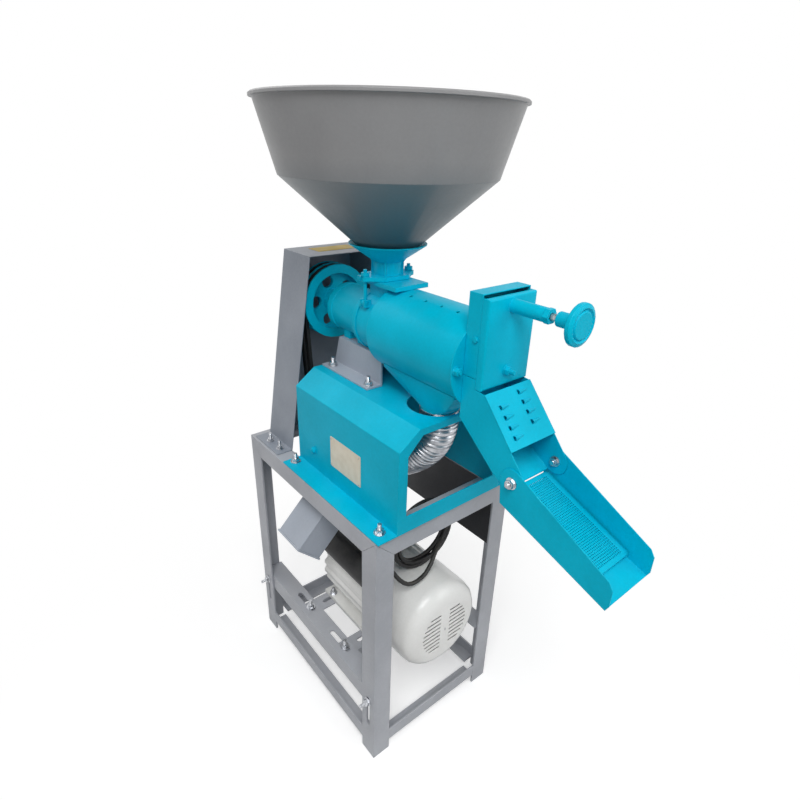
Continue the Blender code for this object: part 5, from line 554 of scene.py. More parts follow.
def hopper_paint_and_shade():
    """Dark satin paint on the spun hopper, with the faint upright streaks of the spray, and a painted shade
    with a painted teal reflection that darkens its cone downwards.
    """
    material = paint(
        "hopper_satin", srgb(146, 146, 147), srgb(139, 139, 140), srgb(160, 160, 161),
        rough=0.38, coat=0.12, metal=0.12, peel=520.0, bump=0.03, wear=0.60, dust=0.02,
    )
    tree = material.node_tree
    shader = next(node for node in tree.nodes if node.type == "BSDF_PRINCIPLED")
    before = shader.inputs["Base Color"].links[0].from_socket
    place = add(tree, "ShaderNodeTexCoord").outputs["Object"]
    tall = add(tree, "ShaderNodeMapping", {"Vector": place, "Scale": (1.0, 1.0, 0.04)}).outputs[0]
    noise = {"Vector": tall, "Scale": 34.0, "Detail": 3.0}
    streaks = add(tree, "ShaderNodeTexNoise", noise).outputs["Fac"]
    streaked = mixed(tree, ramped(tree, streaks, 0.45, 0.75, 0.0, 0.12), before, srgb(150, 151, 154))
    # Painted shade and painted reflection: below the given heights the colour goes to a dark teal, for the
    # cone's shade and its reflection of the teal machine.
    height = add(tree, "ShaderNodeSeparateXYZ", {0: place}).outputs["Z"]
    painted_shade = ramped(tree, height, HOPPER_PAINTED_SHADE_LOW, HOPPER_PAINTED_SHADE_TOP, 1.0, 0.0)
    tree.links.new(mixed(tree, painted_shade, streaked, srgb(74, 92, 100)), shader.inputs["Base Color"])
    return material


TEAL = paint("teal_enamel", srgb(0, 200, 232), srgb(0, 186, 216), srgb(70, 210, 232),
             rough=0.34, coat=0.02, shine=0.08, peel=380.0, bump=0.05, wear=0.56, dust=0.02)
FRAME_GREY = paint("stand_grey", srgb(184, 187, 194), srgb(172, 175, 182), srgb(204, 205, 209),
                   rough=0.40, coat=0.12, peel=480.0, bump=0.10, wear=0.50)
GUARD_GREY = paint("guard_grey", srgb(152, 159, 170), srgb(140, 147, 158), srgb(180, 184, 190),
                   rough=0.40, coat=0.15, peel=420.0, bump=0.08, wear=0.50)
# Painted light: a lighter copy of the grey paint, for the pedestal and the bran duct, whose faces fall in
# shade.
GREY_WITH_PAINTED_LIGHT = paint("folded_grey", srgb(182, 190, 202), srgb(170, 178, 190), srgb(204, 208, 214),
                    rough=0.40, coat=0.12, peel=420.0, bump=0.08, wear=0.50)
# Painted shade: the side panel's near-black colour stands for the deep shade that it lies in.
PANEL_PAINTED_SHADE = paint("side_panel_dark", srgb(60, 61, 66), srgb(46, 47, 52), srgb(120, 120, 124),
                   rough=0.45, coat=0.1, peel=420.0, bump=0.08, wear=0.50)
HOPPER_SATIN_AND_SHADE = hopper_paint_and_shade()
MOTOR_SILVER = paint("motor_silver", srgb(250, 250, 248), srgb(240, 240, 237), srgb(190, 190, 188),
                     rough=0.28, coat=0.3, peel=620.0, bump=0.14, wear=0.56, dust=0.04)
BLACK_PLASTIC = moulded("black_plastic_cover", srgb(22, 22, 24), srgb(34, 34, 36), rough=0.38)
RUBBER = moulded("black_rubber_lead", srgb(16, 16, 17), srgb(30, 30, 31), rough=0.46, dust=0.2)
CREAM = moulded("cream_plug", srgb(226, 216, 160), srgb(212, 200, 142), rough=0.42, dust=0.1)
ZINC = bare_metal("bright_zinc", srgb(214, 216, 220), srgb(172, 174, 178), rough=0.22)
TURNED_STEEL = bare_metal("turned_steel", srgb(184, 184, 184), srgb(140, 139, 137), rough=0.26,
                          grain=(1.0, 14.0, 1.0), grain_scale=120.0)
CAST_IRON = bare_metal("cast_iron", srgb(96, 95, 94), srgb(66, 64, 62), rough=0.52,
                       grain_scale=500.0, bump=0.4, metal=0.8)
FOIL = bare_metal("hose_foil", srgb(206, 208, 212), srgb(158, 160, 165), rough=0.24,
                  grain_scale=90.0, bump=0.35)
THREADED_STEEL = bare_metal("threaded_steel", srgb(196, 196, 196), srgb(140, 139, 137), rough=0.26,
                            grain=(0.0, 1.0, 0.0), grain_scale=620.0, bump=0.9)
PLATE_METAL = bare_metal("nameplate_brushed", srgb(238, 228, 208), srgb(228, 216, 194), rough=0.34,
                         grain=(1.0, 0.04, 1.0), grain_scale=700.0, bump=0.12, metal=0.15)
LABEL_YELLOW = moulded("label_yellow", srgb(206, 176, 52), srgb(190, 158, 40), rough=0.45, dust=0.2)

FINISH_OF_SLOT = {
    "frame_paint": FRAME_GREY, "guard_paint": GUARD_GREY, "panel_paint": PANEL_PAINTED_SHADE, "teal_paint": TEAL,
    "hopper_steel": HOPPER_SATIN_AND_SHADE, "motor_paint": MOTOR_SILVER, "black_plastic": BLACK_PLASTIC, "zinc": ZINC,
    "machined_steel": TURNED_STEEL, "cast_iron": CAST_IRON, "hose_foil": FOIL, "black_rubber": RUBBER,
    "cream_plastic": CREAM,
}
# The pedestal and the bran duct take the lighter copy of the grey paint as painted light.
FINISH_OF_NODE = {"pedestal": GREY_WITH_PAINTED_LIGHT, "bran_duct": GREY_WITH_PAINTED_LIGHT, "pressure_rod": THREADED_STEEL}


def piece(name, mesh, material, body="machine", smooth_angle=SMOOTH_ANGLE):
    """A finished mesh as a piece that rides on a body."""
    mesh.materials.clear()
    mesh.materials.append(material)
    mesh.shade_smooth()
    mesh.set_sharp_from_angle(angle=smooth_angle)
    made = bpy.data.objects.new(name, mesh)
    bpy.context.scene.collection.objects.link(made)
    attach(made, body)
    return made


def mesh_of(shape, name):
    """A bmesh as a mesh, its normals facing out."""
    bmesh.ops.recalc_face_normals(shape, faces=shape.faces)
    mesh = bpy.data.meshes.new(name)
    shape.to_mesh(mesh)
    shape.free()
    return mesh


def body_of_node(node):
    return frame["nodes"][node].parent.name.split(":", 1)[1]


def slot_of_node(node):
    return frame["nodes"][node].data.materials[0].name


def merged_copy(node):
    """A CAD node's mesh, its doubles merged and its flat faces whole, without its old corner normals."""
    shape = bmesh.new()
    shape.from_mesh(frame["nodes"][node].data)
    bmesh.ops.remove_doubles(shape, verts=shape.verts, dist=MERGE_DISTANCE)
    if node not in KEPT_TRIANGLES:
        bmesh.ops.join_triangles(
            shape, faces=shape.faces, angle_face_threshold=FLAT_ANGLE, angle_shape_threshold=math.pi
        )
    mesh = bpy.data.meshes.new(node + "_finished")
    shape.to_mesh(mesh)
    shape.free()
    old_normals = mesh.attributes.get("custom_normal")
    if old_normals is not None:
        mesh.attributes.remove(old_normals)
    return mesh


def finished(node, rounding, angle):
    """A merged copy of a CAD node, smooth where it is round, its corners broken where rounding is given."""
    slot = slot_of_node(node)
    mesh = merged_copy(node)
    if node == "lock_nut":
        make_hexagonal(mesh)
    if node == "bran_funnel":
        draw_inner_wall_in(mesh)
    finish = FINISH_OF_NODE.get(node, FINISH_OF_SLOT[slot])
    made = piece(node + "_finished", mesh, finish, body_of_node(node), angle)
    if rounding:
        bevel = made.modifiers.new("broken_corners", "BEVEL")
        bevel.width = rounding
        bevel.segments = 2
        bevel.limit_method = "ANGLE"
        bevel.angle_limit = angle
        bevel.harden_normals = True
        bevel.miter_outer = "MITER_ARC"
    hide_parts(node)
    return made


def make_hexagonal(mesh):
    """The lock nut's outer ring drawn in to six flats."""
    sixth = math.tau / 6
    for vert in mesh.vertices:
        x, z = vert.co.x, vert.co.z - LOCK_NUT_HEIGHT
        if math.hypot(x, z) > LOCK_NUT_BORE:
            in_side = (math.atan2(z, x) + math.tau) % sixth - sixth / 2
            share = math.cos(sixth / 2) / math.cos(in_side)
            vert.co.x = x * share
            vert.co.z = LOCK_NUT_HEIGHT + z * share


def draw_inner_wall_in(mesh):
    """The bran funnel's inner wall moved a little inwards, clear of the outer one's folds."""
    for vert in mesh.vertices:
        x, y, z = vert.co
        if abs(z - FUNNEL_FOLD_TOP) < FUNNEL_REACH and abs(x) < FUNNEL_TOP_HALF_WIDTH:
            if abs(y - FUNNEL_TOP_Y) < FUNNEL_TOP_HALF_DEPTH:
                vert.co.x = x - math.copysign(FUNNEL_DRAW, x)
                vert.co.y = y - math.copysign(FUNNEL_DRAW, y - FUNNEL_TOP_Y)
        elif abs(z - FUNNEL_FOLD_LOW) < FUNNEL_REACH:
            radius = math.hypot(x, y - FUNNEL_LOW_Y)
            if radius < FUNNEL_LOW_RADIUS:
                share = 1 - FUNNEL_DRAW / radius
                vert.co.x = x * share
                vert.co.y = FUNNEL_LOW_Y + (y - FUNNEL_LOW_Y) * share


# Geometry Nodes trees


def growing_tree(name, inputs):
    """A geometry tree with named inputs. Gives the tree, its inputs and its output socket."""
    tree = bpy.data.node_groups.new(name, "GeometryNodeTree")
    tree.interface.new_socket("Geometry", in_out="INPUT", socket_type="NodeSocketGeometry")
    tree.interface.new_socket("Geometry", in_out="OUTPUT", socket_type="NodeSocketGeometry")
    for label, kind, value in inputs:
        socket = tree.interface.new_socket(label, in_out="INPUT", socket_type=kind)
        if value is not None:
            socket.default_value = value
    return tree, tree.nodes.new("NodeGroupInput").outputs, tree.nodes.new("NodeGroupOutput").inputs


FLOAT = "NodeSocketFloat"
WHOLE = "NodeSocketInt"
MATERIAL = "NodeSocketMaterial"


def close_tree(tree, shape, finish, output):
    """The tree's end: real geometry with its finish on it."""
    solid = add(tree, "GeometryNodeRealizeInstances", {"Geometry": shape})
    coated = add(tree, "GeometryNodeSetMaterial", {"Geometry": solid.outputs[0], "Material": finish})
    tree.links.new(coated.outputs[0], output["Geometry"])


def joined(tree, *parts):
    node = tree.nodes.new("GeometryNodeJoinGeometry")
    for part in parts:
        tree.links.new(part, node.inputs[0])
    return node.outputs[0]


def lifted(tree, shape, height):
    """A shape moved up along its own axis."""
    move = add(tree, "ShaderNodeCombineXYZ", {"Z": height}).outputs[0]
    return add(tree, "GeometryNodeTransform", {"Geometry": shape, "Translation": move}).outputs[0]


def set_on_seats(tree, given, shape):
    """The shape on each seat, its axis along the seat's facing, turned at random about it."""
    named = add(tree, "GeometryNodeInputNamedAttribute", {"Name": "facing"}, data_type="FLOAT_VECTOR")
    facing = named.outputs[0]
    upright = add(tree, "FunctionNodeAlignRotationToVector", {"Vector": facing}, axis="Z").outputs[0]
    chance = tree.nodes.new("FunctionNodeRandomValue")
    chance.data_type = "FLOAT"
    chance.inputs[3].default_value = math.tau
    tree.links.new(given["Seed"], chance.inputs["Seed"])
    spin = add(tree, "FunctionNodeAxisAngleToRotation", {"Angle": chance.outputs[1]}).outputs[0]
    turned = add(tree, "FunctionNodeRotateRotation", {0: upright, 1: spin}, rotation_space="LOCAL").outputs[0]
    seats = add(tree, "GeometryNodeMeshToPoints", {"Mesh": given["Geometry"]}).outputs[0]
    return add(
        tree, "GeometryNodeInstanceOnPoints", {"Points": seats, "Instance": shape, "Rotation": turned}
    ).outputs[0]


def ridged_stud(tree, given):
    """The threaded end that stands out of the nut."""
    end = add(tree, "ShaderNodeCombineXYZ", {"Z": given["Stud Length"]}).outputs[0]
    line = add(tree, "GeometryNodeCurvePrimitiveLine", {"End": end}).outputs[0]
    steps = add(
        tree, "GeometryNodeResampleCurve", {"Curve": line, "Length": given["Thread Step"]}, mode="LENGTH"
    ).outputs[0]
    index = tree.nodes.new("GeometryNodeInputIndex").outputs[0]
    crest = maths(tree, "MODULO", index, 2.0)
    width = ramped(tree, crest, 0.0, 1.0, 0.86, 1.0)
    ring = {"Resolution": 14, "Radius": given["Stud Radius"]}
    round_bar = add(tree, "GeometryNodeCurvePrimitiveCircle", ring).outputs[0]
    return add(
        tree, "GeometryNodeCurveToMesh",
        {"Curve": steps, "Profile Curve": round_bar, "Scale": width, "Fill Caps": True},
    ).outputs[0]


def chamfered_nut(tree, given):
    """A hex prism whose top corners are turned down by a cone."""
    half_height = maths(tree, "MULTIPLY", given["Nut Height"], 0.5)
    drum = add(
        tree, "GeometryNodeMeshCylinder",
        {"Vertices": 36, "Side Segments": 5, "Radius": given["Nut Radius"], "Depth": given["Nut Height"]},
    ).outputs[0]
    place = tree.nodes.new("GeometryNodeInputPosition").outputs[0]
    axes = add(tree, "ShaderNodeSeparateXYZ", {0: place})
    angle = maths(tree, "ARCTAN2", axes.outputs["Y"], axes.outputs["X"])
    sixth = math.tau / 6
    in_side = maths(tree, "SUBTRACT", maths(tree, "FLOORED_MODULO", angle, sixth), sixth / 2)
    apothem = maths(tree, "MULTIPLY", given["Nut Radius"], math.cos(sixth / 2))
    hex_reach = maths(tree, "DIVIDE", apothem, maths(tree, "COSINE", in_side))
    below_top = maths(tree, "SUBTRACT", half_height, axes.outputs["Z"])
    cone_reach = maths(tree, "ADD", maths(tree, "MULTIPLY", given["Nut Radius"], 0.89),
                       maths(tree, "MULTIPLY", below_top, 1.2))
    allowed = maths(tree, "MINIMUM", hex_reach, cone_reach)
    reach = maths(tree, "DIVIDE", allowed, given["Nut Radius"])
    flat_x = maths(tree, "MULTIPLY", axes.outputs["X"], reach)
    flat_y = maths(tree, "MULTIPLY", axes.outputs["Y"], reach)
    moved = add(tree, "ShaderNodeCombineXYZ", {"X": flat_x, "Y": flat_y, "Z": axes.outputs["Z"]}).outputs[0]
    nut = add(tree, "GeometryNodeSetPosition", {"Geometry": drum, "Position": moved}).outputs[0]
    return lifted(tree, nut, half_height)


def nut_and_washer_tree():
    """A washer, a chamfered hex nut and the ridged end of the bolt, on each seat."""
    sizes = (
        ("Washer Radius", FLOAT, 0.0085), ("Washer Height", FLOAT, 0.0016), ("Nut Radius", FLOAT, 0.0073),
        ("Nut Height", FLOAT, 0.0062), ("Stud Radius", FLOAT, 0.0038), ("Stud Length", FLOAT, 0.0140),
        ("Thread Step", FLOAT, 0.0007), ("Seed", WHOLE, 4), ("Finish", MATERIAL, None),
    )
    tree, given, output = growing_tree("nut_and_washer", sizes)
    washer = add(
        tree, "GeometryNodeMeshCylinder",
        {"Vertices": 28, "Radius": given["Washer Radius"], "Depth": given["Washer Height"]},
    ).outputs[0]
    washer = lifted(tree, washer, maths(tree, "MULTIPLY", given["Washer Height"], 0.5))
    nut = lifted(tree, chamfered_nut(tree, given), given["Washer Height"])
    shape = joined(tree, washer, nut, ridged_stud(tree, given))
    close_tree(tree, set_on_seats(tree, given, shape), given["Finish"], output)
    return tree


def domed_head_tree():
    """A domed rivet or screw head with a driver slot, on each seat."""
    sizes = (
        ("Head Radius", FLOAT, 0.0030), ("Head Height", FLOAT, 0.0016), ("Slot Width", FLOAT, 0.0008),
        ("Seed", WHOLE, 7), ("Finish", MATERIAL, None),
    )
    tree, given, output = growing_tree("domed_head", sizes)
    ball = add(
        tree, "GeometryNodeMeshUVSphere", {"Segments": 20, "Rings": 12, "Radius": given["Head Radius"]}
    ).outputs[0]
    flat = maths(tree, "DIVIDE", given["Head Height"], given["Head Radius"])
    squeeze = add(tree, "ShaderNodeCombineXYZ", {"X": 1.0, "Y": 1.0, "Z": flat}).outputs[0]
    dome = add(tree, "GeometryNodeTransform", {"Geometry": ball, "Scale": squeeze}).outputs[0]
    long_way = maths(tree, "MULTIPLY", given["Head Radius"], 3.0)
    size = add(
        tree, "ShaderNodeCombineXYZ", {"X": long_way, "Y": given["Slot Width"], "Z": given["Head Height"]}
    ).outputs[0]
    blade = add(tree, "GeometryNodeMeshCube", {"Size": size}).outputs[0]
    blade = lifted(tree, blade, given["Head Height"])
    slotted = tree.nodes.new("GeometryNodeMeshBoolean")
    slotted.operation = "DIFFERENCE"
    tree.links.new(dome, slotted.inputs["Mesh 1"])
    tree.links.new(blade, slotted.inputs["Mesh 2"])
    close_tree(tree, set_on_seats(tree, given, slotted.outputs[0]), given["Finish"], output)
    return tree


def corrugated_tree():
    """A thin walled hose along a curve, its ribs spaced evenly along the length."""
    sizes = (
        ("Hose Radius", FLOAT, HOSE_RADIUS), ("Rib Pitch", FLOAT, HOSE_RIB_PITCH),
        ("Rib Depth", FLOAT, HOSE_RIB_DEPTH), ("Step", FLOAT, 0.0009), ("Around", WHOLE, 56),
        ("Finish", MATERIAL, None),
    )
    tree, given, output = growing_tree("corrugated_hose", sizes)
    spacing = {"Curve": given["Geometry"], "Length": given["Step"]}
    line = add(tree, "GeometryNodeResampleCurve", spacing, mode="LENGTH").outputs[0]
    along = tree.nodes.new("GeometryNodeSplineParameter").outputs["Length"]
    turn = maths(tree, "MULTIPLY", maths(tree, "DIVIDE", along, given["Rib Pitch"]), math.tau)
    swing = maths(tree, "SINE", maths(tree, "MULTIPLY", turn, 0.5))
    wave = maths(tree, "POWER", maths(tree, "ABSOLUTE", swing), 0.7)
    depth = maths(tree, "DIVIDE", given["Rib Depth"], given["Hose Radius"])
    width = maths(tree, "SUBTRACT", 1.0, maths(tree, "MULTIPLY", depth, maths(tree, "SUBTRACT", 1.0, wave)))
    round_line = {"Resolution": given["Around"], "Radius": given["Hose Radius"]}
    ring = add(tree, "GeometryNodeCurvePrimitiveCircle", round_line).outputs[0]
    swept = {"Curve": line, "Profile Curve": ring, "Scale": width}
    hose = add(tree, "GeometryNodeCurveToMesh", swept).outputs[0]
    close_tree(tree, hose, given["Finish"], output)
    return tree


def punched_sheet_tree():
    """A sheet of square cells with a round hole in each, welded to one net."""
    sizes = (
        ("Pitch", FLOAT, SIEVE_PITCH), ("Hole Radius", FLOAT, SIEVE_HOLE), ("Across", WHOLE, 20),
        ("Along", WHOLE, 34), ("Finish", MATERIAL, None),
    )
    tree, given, output = growing_tree("punched_sheet", sizes)
    half = maths(tree, "MULTIPLY", given["Pitch"], 0.5)
    collar = add(
        tree, "GeometryNodeMeshCone",
        {"Vertices": 8, "Radius Top": given["Hole Radius"], "Radius Bottom": half, "Depth": given["Pitch"]},
        fill_type="NONE",
    ).outputs[0]
    place = tree.nodes.new("GeometryNodeInputPosition").outputs[0]
    axes = add(tree, "ShaderNodeSeparateXYZ", {0: place})
    wide = maths(tree, "ABSOLUTE", axes.outputs["X"])
    deep = maths(tree, "ABSOLUTE", axes.outputs["Y"])
    outer = maths(tree, "LESS_THAN", axes.outputs["Z"], half)
    reach = maths(tree, "DIVIDE", half, maths(tree, "MAXIMUM", wide, deep))
    share = maths(tree, "ADD", 1.0, maths(tree, "MULTIPLY", outer, maths(tree, "SUBTRACT", reach, 1.0)))
    flat_x = maths(tree, "MULTIPLY", axes.outputs["X"], share)
    flat_y = maths(tree, "MULTIPLY", axes.outputs["Y"], share)
    flat = add(tree, "ShaderNodeCombineXYZ", {"X": flat_x, "Y": flat_y, "Z": 0.0}).outputs[0]
    cell = add(tree, "GeometryNodeSetPosition", {"Geometry": collar, "Position": flat}).outputs[0]
    size_x = maths(tree, "MULTIPLY", given["Pitch"], maths(tree, "SUBTRACT", given["Across"], 1.0))
    size_y = maths(tree, "MULTIPLY", given["Pitch"], maths(tree, "SUBTRACT", given["Along"], 1.0))
    grid = add(
        tree, "GeometryNodeMeshGrid",
        {"Size X": size_x, "Size Y": size_y, "Vertices X": given["Across"], "Vertices Y": given["Along"]},
    ).outputs[0]
    cells = add(tree, "GeometryNodeInstanceOnPoints", {"Points": grid, "Instance": cell}).outputs[0]
    loose = add(tree, "GeometryNodeRealizeInstances", {"Geometry": cells}).outputs[0]
    joints = {"Geometry": loose, "Distance": WELD_DISTANCE}
    welded = add(tree, "GeometryNodeMergeByDistance", joints).outputs[0]
    close_tree(tree, welded, given["Finish"], output)
    return tree


def grown(name, data, tree, sizes):
    """The mesh that a tree grows from data, as plain mesh data."""
    seed = bpy.data.objects.new(name + "_seed", data)
    bpy.context.scene.collection.objects.link(seed)
    modifier = seed.modifiers.new("grown", "NODES")
    modifier.node_group = tree
    for socket in tree.interface.items_tree:
        if socket.in_out == "INPUT" and socket.name in sizes:
            modifier[socket.identifier] = sizes[socket.name]
    depsgraph = bpy.context.evaluated_depsgraph_get()
    mesh = bpy.data.meshes.new_from_object(seed.evaluated_get(depsgraph))
    seed.modifiers.remove(modifier)
    bpy.data.objects.remove(seed)
    mesh.name = name
    return mesh


def seats_mesh(name, seats):
    """Points with the way that each one faces."""
    mesh = bpy.data.meshes.new(name + "_seats")
    mesh.from_pydata([tuple(place) for place, facing in seats], [], [])
    facing = mesh.attributes.new("facing", "FLOAT_VECTOR", "POINT")
    for item, (place, way) in zip(facing.data, seats):
        item.vector = way
    return mesh


NUT_TREE = nut_and_washer_tree()
DOME_TREE = domed_head_tree()
HOSE_TREE = corrugated_tree()
SIEVE_TREE = punched_sheet_tree()


def nuts(name, seats, material, sizes):
    """Nuts with washers and bolt ends on their seats, as one piece."""
    mesh = grown(name, seats_mesh(name, seats), NUT_TREE, {"Finish": material, **sizes})
    return piece(name, mesh, material)


def heads(name, seats, material, sizes):
    """Domed heads on their seats, as one piece."""
    mesh = grown(name, seats_mesh(name, seats), DOME_TREE, {"Finish": material, **sizes})
    return piece(name, mesh, material)


# Lead, coil and plug


def smooth_route(route, count):
    """Evenly spaced points along a smooth curve through the route's points, as in the part's source."""
    ends = [Vector(route[0]) * 2 - Vector(route[1])] + [Vector(p) for p in route]
    ends.append(Vector(route[-1]) * 2 - Vector(route[-2]))
    dense = []
    for p0, p1, p2, p3 in zip(ends, ends[1:], ends[2:], ends[3:]):
        for step in range(ROUTE_STEPS):
            t = step / ROUTE_STEPS
            a = 2 * p1 + (p2 - p0) * t
            b = (2 * p0 - 5 * p1 + 4 * p2 - p3) * t * t
            dense.append((a + b + (3 * p1 - p0 - 3 * p2 + p3) * t**3) / 2)
    dense.append(ends[-2])
    lengths = [0]
    for first, second in zip(dense, dense[1:]):
        lengths.append(lengths[-1] + (second - first).length)
    points = []
    for step in range(count):
        want = lengths[-1] * step / (count - 1)
        passed = max(i for i, reached in enumerate(lengths) if reached <= want + POINT_DISTANCE)
        index = min(passed, len(dense) - 2)
        share = (want - lengths[index]) / max(lengths[index + 1] - lengths[index], POINT_DISTANCE)
        points.append(dense[index].lerp(dense[index + 1], min(share, 1)))
    return points


def bridge(start, start_pull, end, end_pull, steps):
    """Points between two ends on a cubic, without the ends."""
    points = []
    for step in range(1, steps):
        t = step / steps
        points.append(
            start * (2 * t**3 - 3 * t**2 + 1)
            + start_pull * (t**3 - 2 * t**2 + t)
            + end * (3 * t**2 - 2 * t**3)
            + end_pull * (t**3 - t**2)
        )
    return points


def coil_point(angle):
    """The lead's middle in the coil: the turns lie two by two and swap places once a turn."""
    turns = (angle - COIL_START) / math.tau
    whole = min(int(turns), COIL_TURNS - 1)
    part = min(max((turns - whole - COIL_SWAP_SHARE) / (1 - COIL_SWAP_SHARE), 0), 1)
    if whole == COIL_TURNS - 1:
        part = 0
    part = part * part * (3 - 2 * part)
    phase = COIL_PHASE + (whole + part) * math.pi / 2
    offset = COIL_SPACING / math.sqrt(2)
    radius = COIL_RADIUS + offset * math.cos(phase)
    around = Vector((radius * math.cos(angle), offset * math.sin(phase), radius * math.sin(angle)))
    return Vector(COIL_CENTRE) + around


def lead_path():
    """The whole lead: gland, loop over the fan cover, four turns and the tail to the plug."""
    route = smooth_route(LEAD_ROUTE, LEAD_POINTS)
    total = math.tau * COIL_TURNS + COIL_END - COIL_START
    count = int(COIL_STEPS * total / math.tau)
    coil = [coil_point(COIL_START + total * step / count) for step in range(count + 1)]
    into = (route[-1] - route[-2]).normalized() * COIL_PULL
    first = (coil[1] - coil[0]).normalized() * COIL_PULL
    inward = bridge(route[-1], into, coil[0], first, COIL_ENTRY_STEPS)
    entry = Vector((PLUG_ENTRY_X, PLUG_MIDDLE[1], PLUG_MIDDLE[2]))
    last = (coil[-1] - coil[-2]).normalized() * TAIL_PULL
    outward = bridge(coil[-1], last, entry, Vector((-TAIL_PULL, 0, 0)), TAIL_STEPS)
    end = Vector((PLUG_MIDDLE[0] + PLUG_HALF[0] - PLUG_SEAT, PLUG_MIDDLE[1], PLUG_MIDDLE[2]))
    return [at(*point) for point in route + inward + coil + outward + [entry, end]]


def plug_body():
    """The moulded plug: a stepped block with rounded corners, finger ribs and a tapered strain relief."""
    shape = bmesh.new()
    middle = at(*PLUG_MIDDLE)
    rings = []
    for x, share in PLUG_SECTIONS:
        ring = []
        for step in range(PLUG_STEPS):
            angle = math.tau * step / PLUG_STEPS
            c, s = math.cos(angle), math.sin(angle)
            y = math.copysign(abs(c) ** PLUG_CORNER_POWER, c) * PLUG_HALF[1] * share
            z = math.copysign(abs(s) ** PLUG_CORNER_POWER, s) * PLUG_HALF[2] * share
            ring.append(shape.verts.new(middle + Vector((x, y, z))))
        rings.append(ring)
    for rib in range(RELIEF_RIBS + 1):
        along = rib / RELIEF_RIBS
        x = PLUG_HALF[0] + RELIEF_LENGTH * along
        radius = RELIEF_RADIUS - RELIEF_TAPER * along - (RELIEF_GROOVE if rib % 2 else 0)
        ring = []
        for step in range(PLUG_STEPS):
            angle = math.tau * step / PLUG_STEPS
            offset = Vector((x, math.cos(angle) * radius, math.sin(angle) * radius))
            ring.append(shape.verts.new(middle + offset))
        rings.append(ring)
    for first, second in zip(rings, rings[1:]):
        for step in range(PLUG_STEPS):
            after = (step + 1) % PLUG_STEPS
            shape.faces.new((first[step], first[after], second[after], second[step]))
    shape.faces.new(rings[0])
    shape.faces.new(rings[-1])
    return mesh_of(shape, "plug_moulding")


def plug_pins():
    """Two flat pins with tapered tips."""
    shape = bmesh.new()
    middle = at(*PLUG_MIDDLE)
    for side in (-1, 1):
        for x, half_y, half_z in PIN_SECTIONS:
            corners = ((-half_y, -half_z), (half_y, -half_z), (half_y, half_z), (-half_y, half_z))
            for y, z in corners:
                shape.verts.new(middle + Vector((x, y, z + side * PIN_OFFSET)))
    shape.verts.ensure_lookup_table()
    for start in (0, 12):
        v = shape.verts[start:start + 12]
        for low in (0, 4):
            for step in range(4):
                after = (step + 1) % 4
                shape.faces.new((v[low + step], v[low + after], v[low + 4 + after], v[low + 4 + step]))
        shape.faces.new(v[0:4])
        shape.faces.new(v[8:12])
    return mesh_of(shape, "plug_pins")


def make_lead():
    """The lead with its plug and the plug's pins."""
    path = lead_path()
    curve = bpy.data.curves.new("motor_lead", "CURVE")
    curve.dimensions = "3D"
    curve.bevel_depth = LEAD_RADIUS
    curve.bevel_resolution = 4
    curve.use_fill_caps = True
    spline = curve.splines.new("POLY")
    spline.points.add(len(path) - 1)
    for point, place in zip(spline.points, path):
        point.co = (*place, 1)
    spline.use_smooth = True
    curve.materials.append(RUBBER)
    lead = bpy.data.objects.new("motor_lead", curve)
    bpy.context.scene.collection.objects.link(lead)
    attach(lead, "machine")
    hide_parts("cord", "cord_coil")
    moulding = piece("plug_moulding", plug_body(), CREAM, smooth_angle=PLUG_SMOOTH_ANGLE)
    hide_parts("plug")
    pins = piece("plug_pins", plug_pins(), ZINC)


# Hose


def hose_line():
    """The hose's middle line as a curve, with short straight ends."""
    diagonal = Vector((1, 0, 1)).normalized()
    top = Vector(HOSE_TOP)
    collar = Vector(DUCT_MOUTH) + diagonal * DUCT_TO_HOSE
    start = top - Vector((0, 0, HOSE_STRAIGHT))
    end = collar + diagonal * HOSE_STRAIGHT
    first = start - Vector((0, 0, HOSE_TOP_REACH))
    second = end + diagonal * HOSE_DUCT_REACH
    points = [top]
    for step in range(HOSE_STEPS + 1):
        t = step / HOSE_STEPS
        weights = ((1 - t) ** 3, 3 * t * (1 - t) ** 2, 3 * t * t * (1 - t), t**3)
        points.append(sum((w * p for w, p in zip(weights, (start, first, second, end))), Vector()))
    points.append(collar)
    curve = bpy.data.curves.new("bran_hose_line", "CURVE")
    curve.dimensions = "3D"
    spline = curve.splines.new("POLY")
    spline.points.add(len(points) - 1)
    for point, place in zip(spline.points, points):
        point.co = (*at(*place), 1)
    return curve


def make_hose():
    """The corrugated bran hose, a thin wall all along."""
    mesh = grown("bran_hose_ribs", hose_line(), HOSE_TREE, {"Finish": FOIL})
    shape = bmesh.new()
    shape.from_mesh(mesh)
    bmesh.ops.recalc_face_normals(shape, faces=shape.faces)
    shape.to_mesh(mesh)
    shape.free()
    hose = piece("bran_hose_ribs", mesh, FOIL, smooth_angle=HOSE_SMOOTH_ANGLE)
    wall = hose.modifiers.new("foil_wall", "SOLIDIFY")
    wall.thickness = HOSE_SHEET
    wall.offset = -1
    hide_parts("bran_hose")


# Sieve


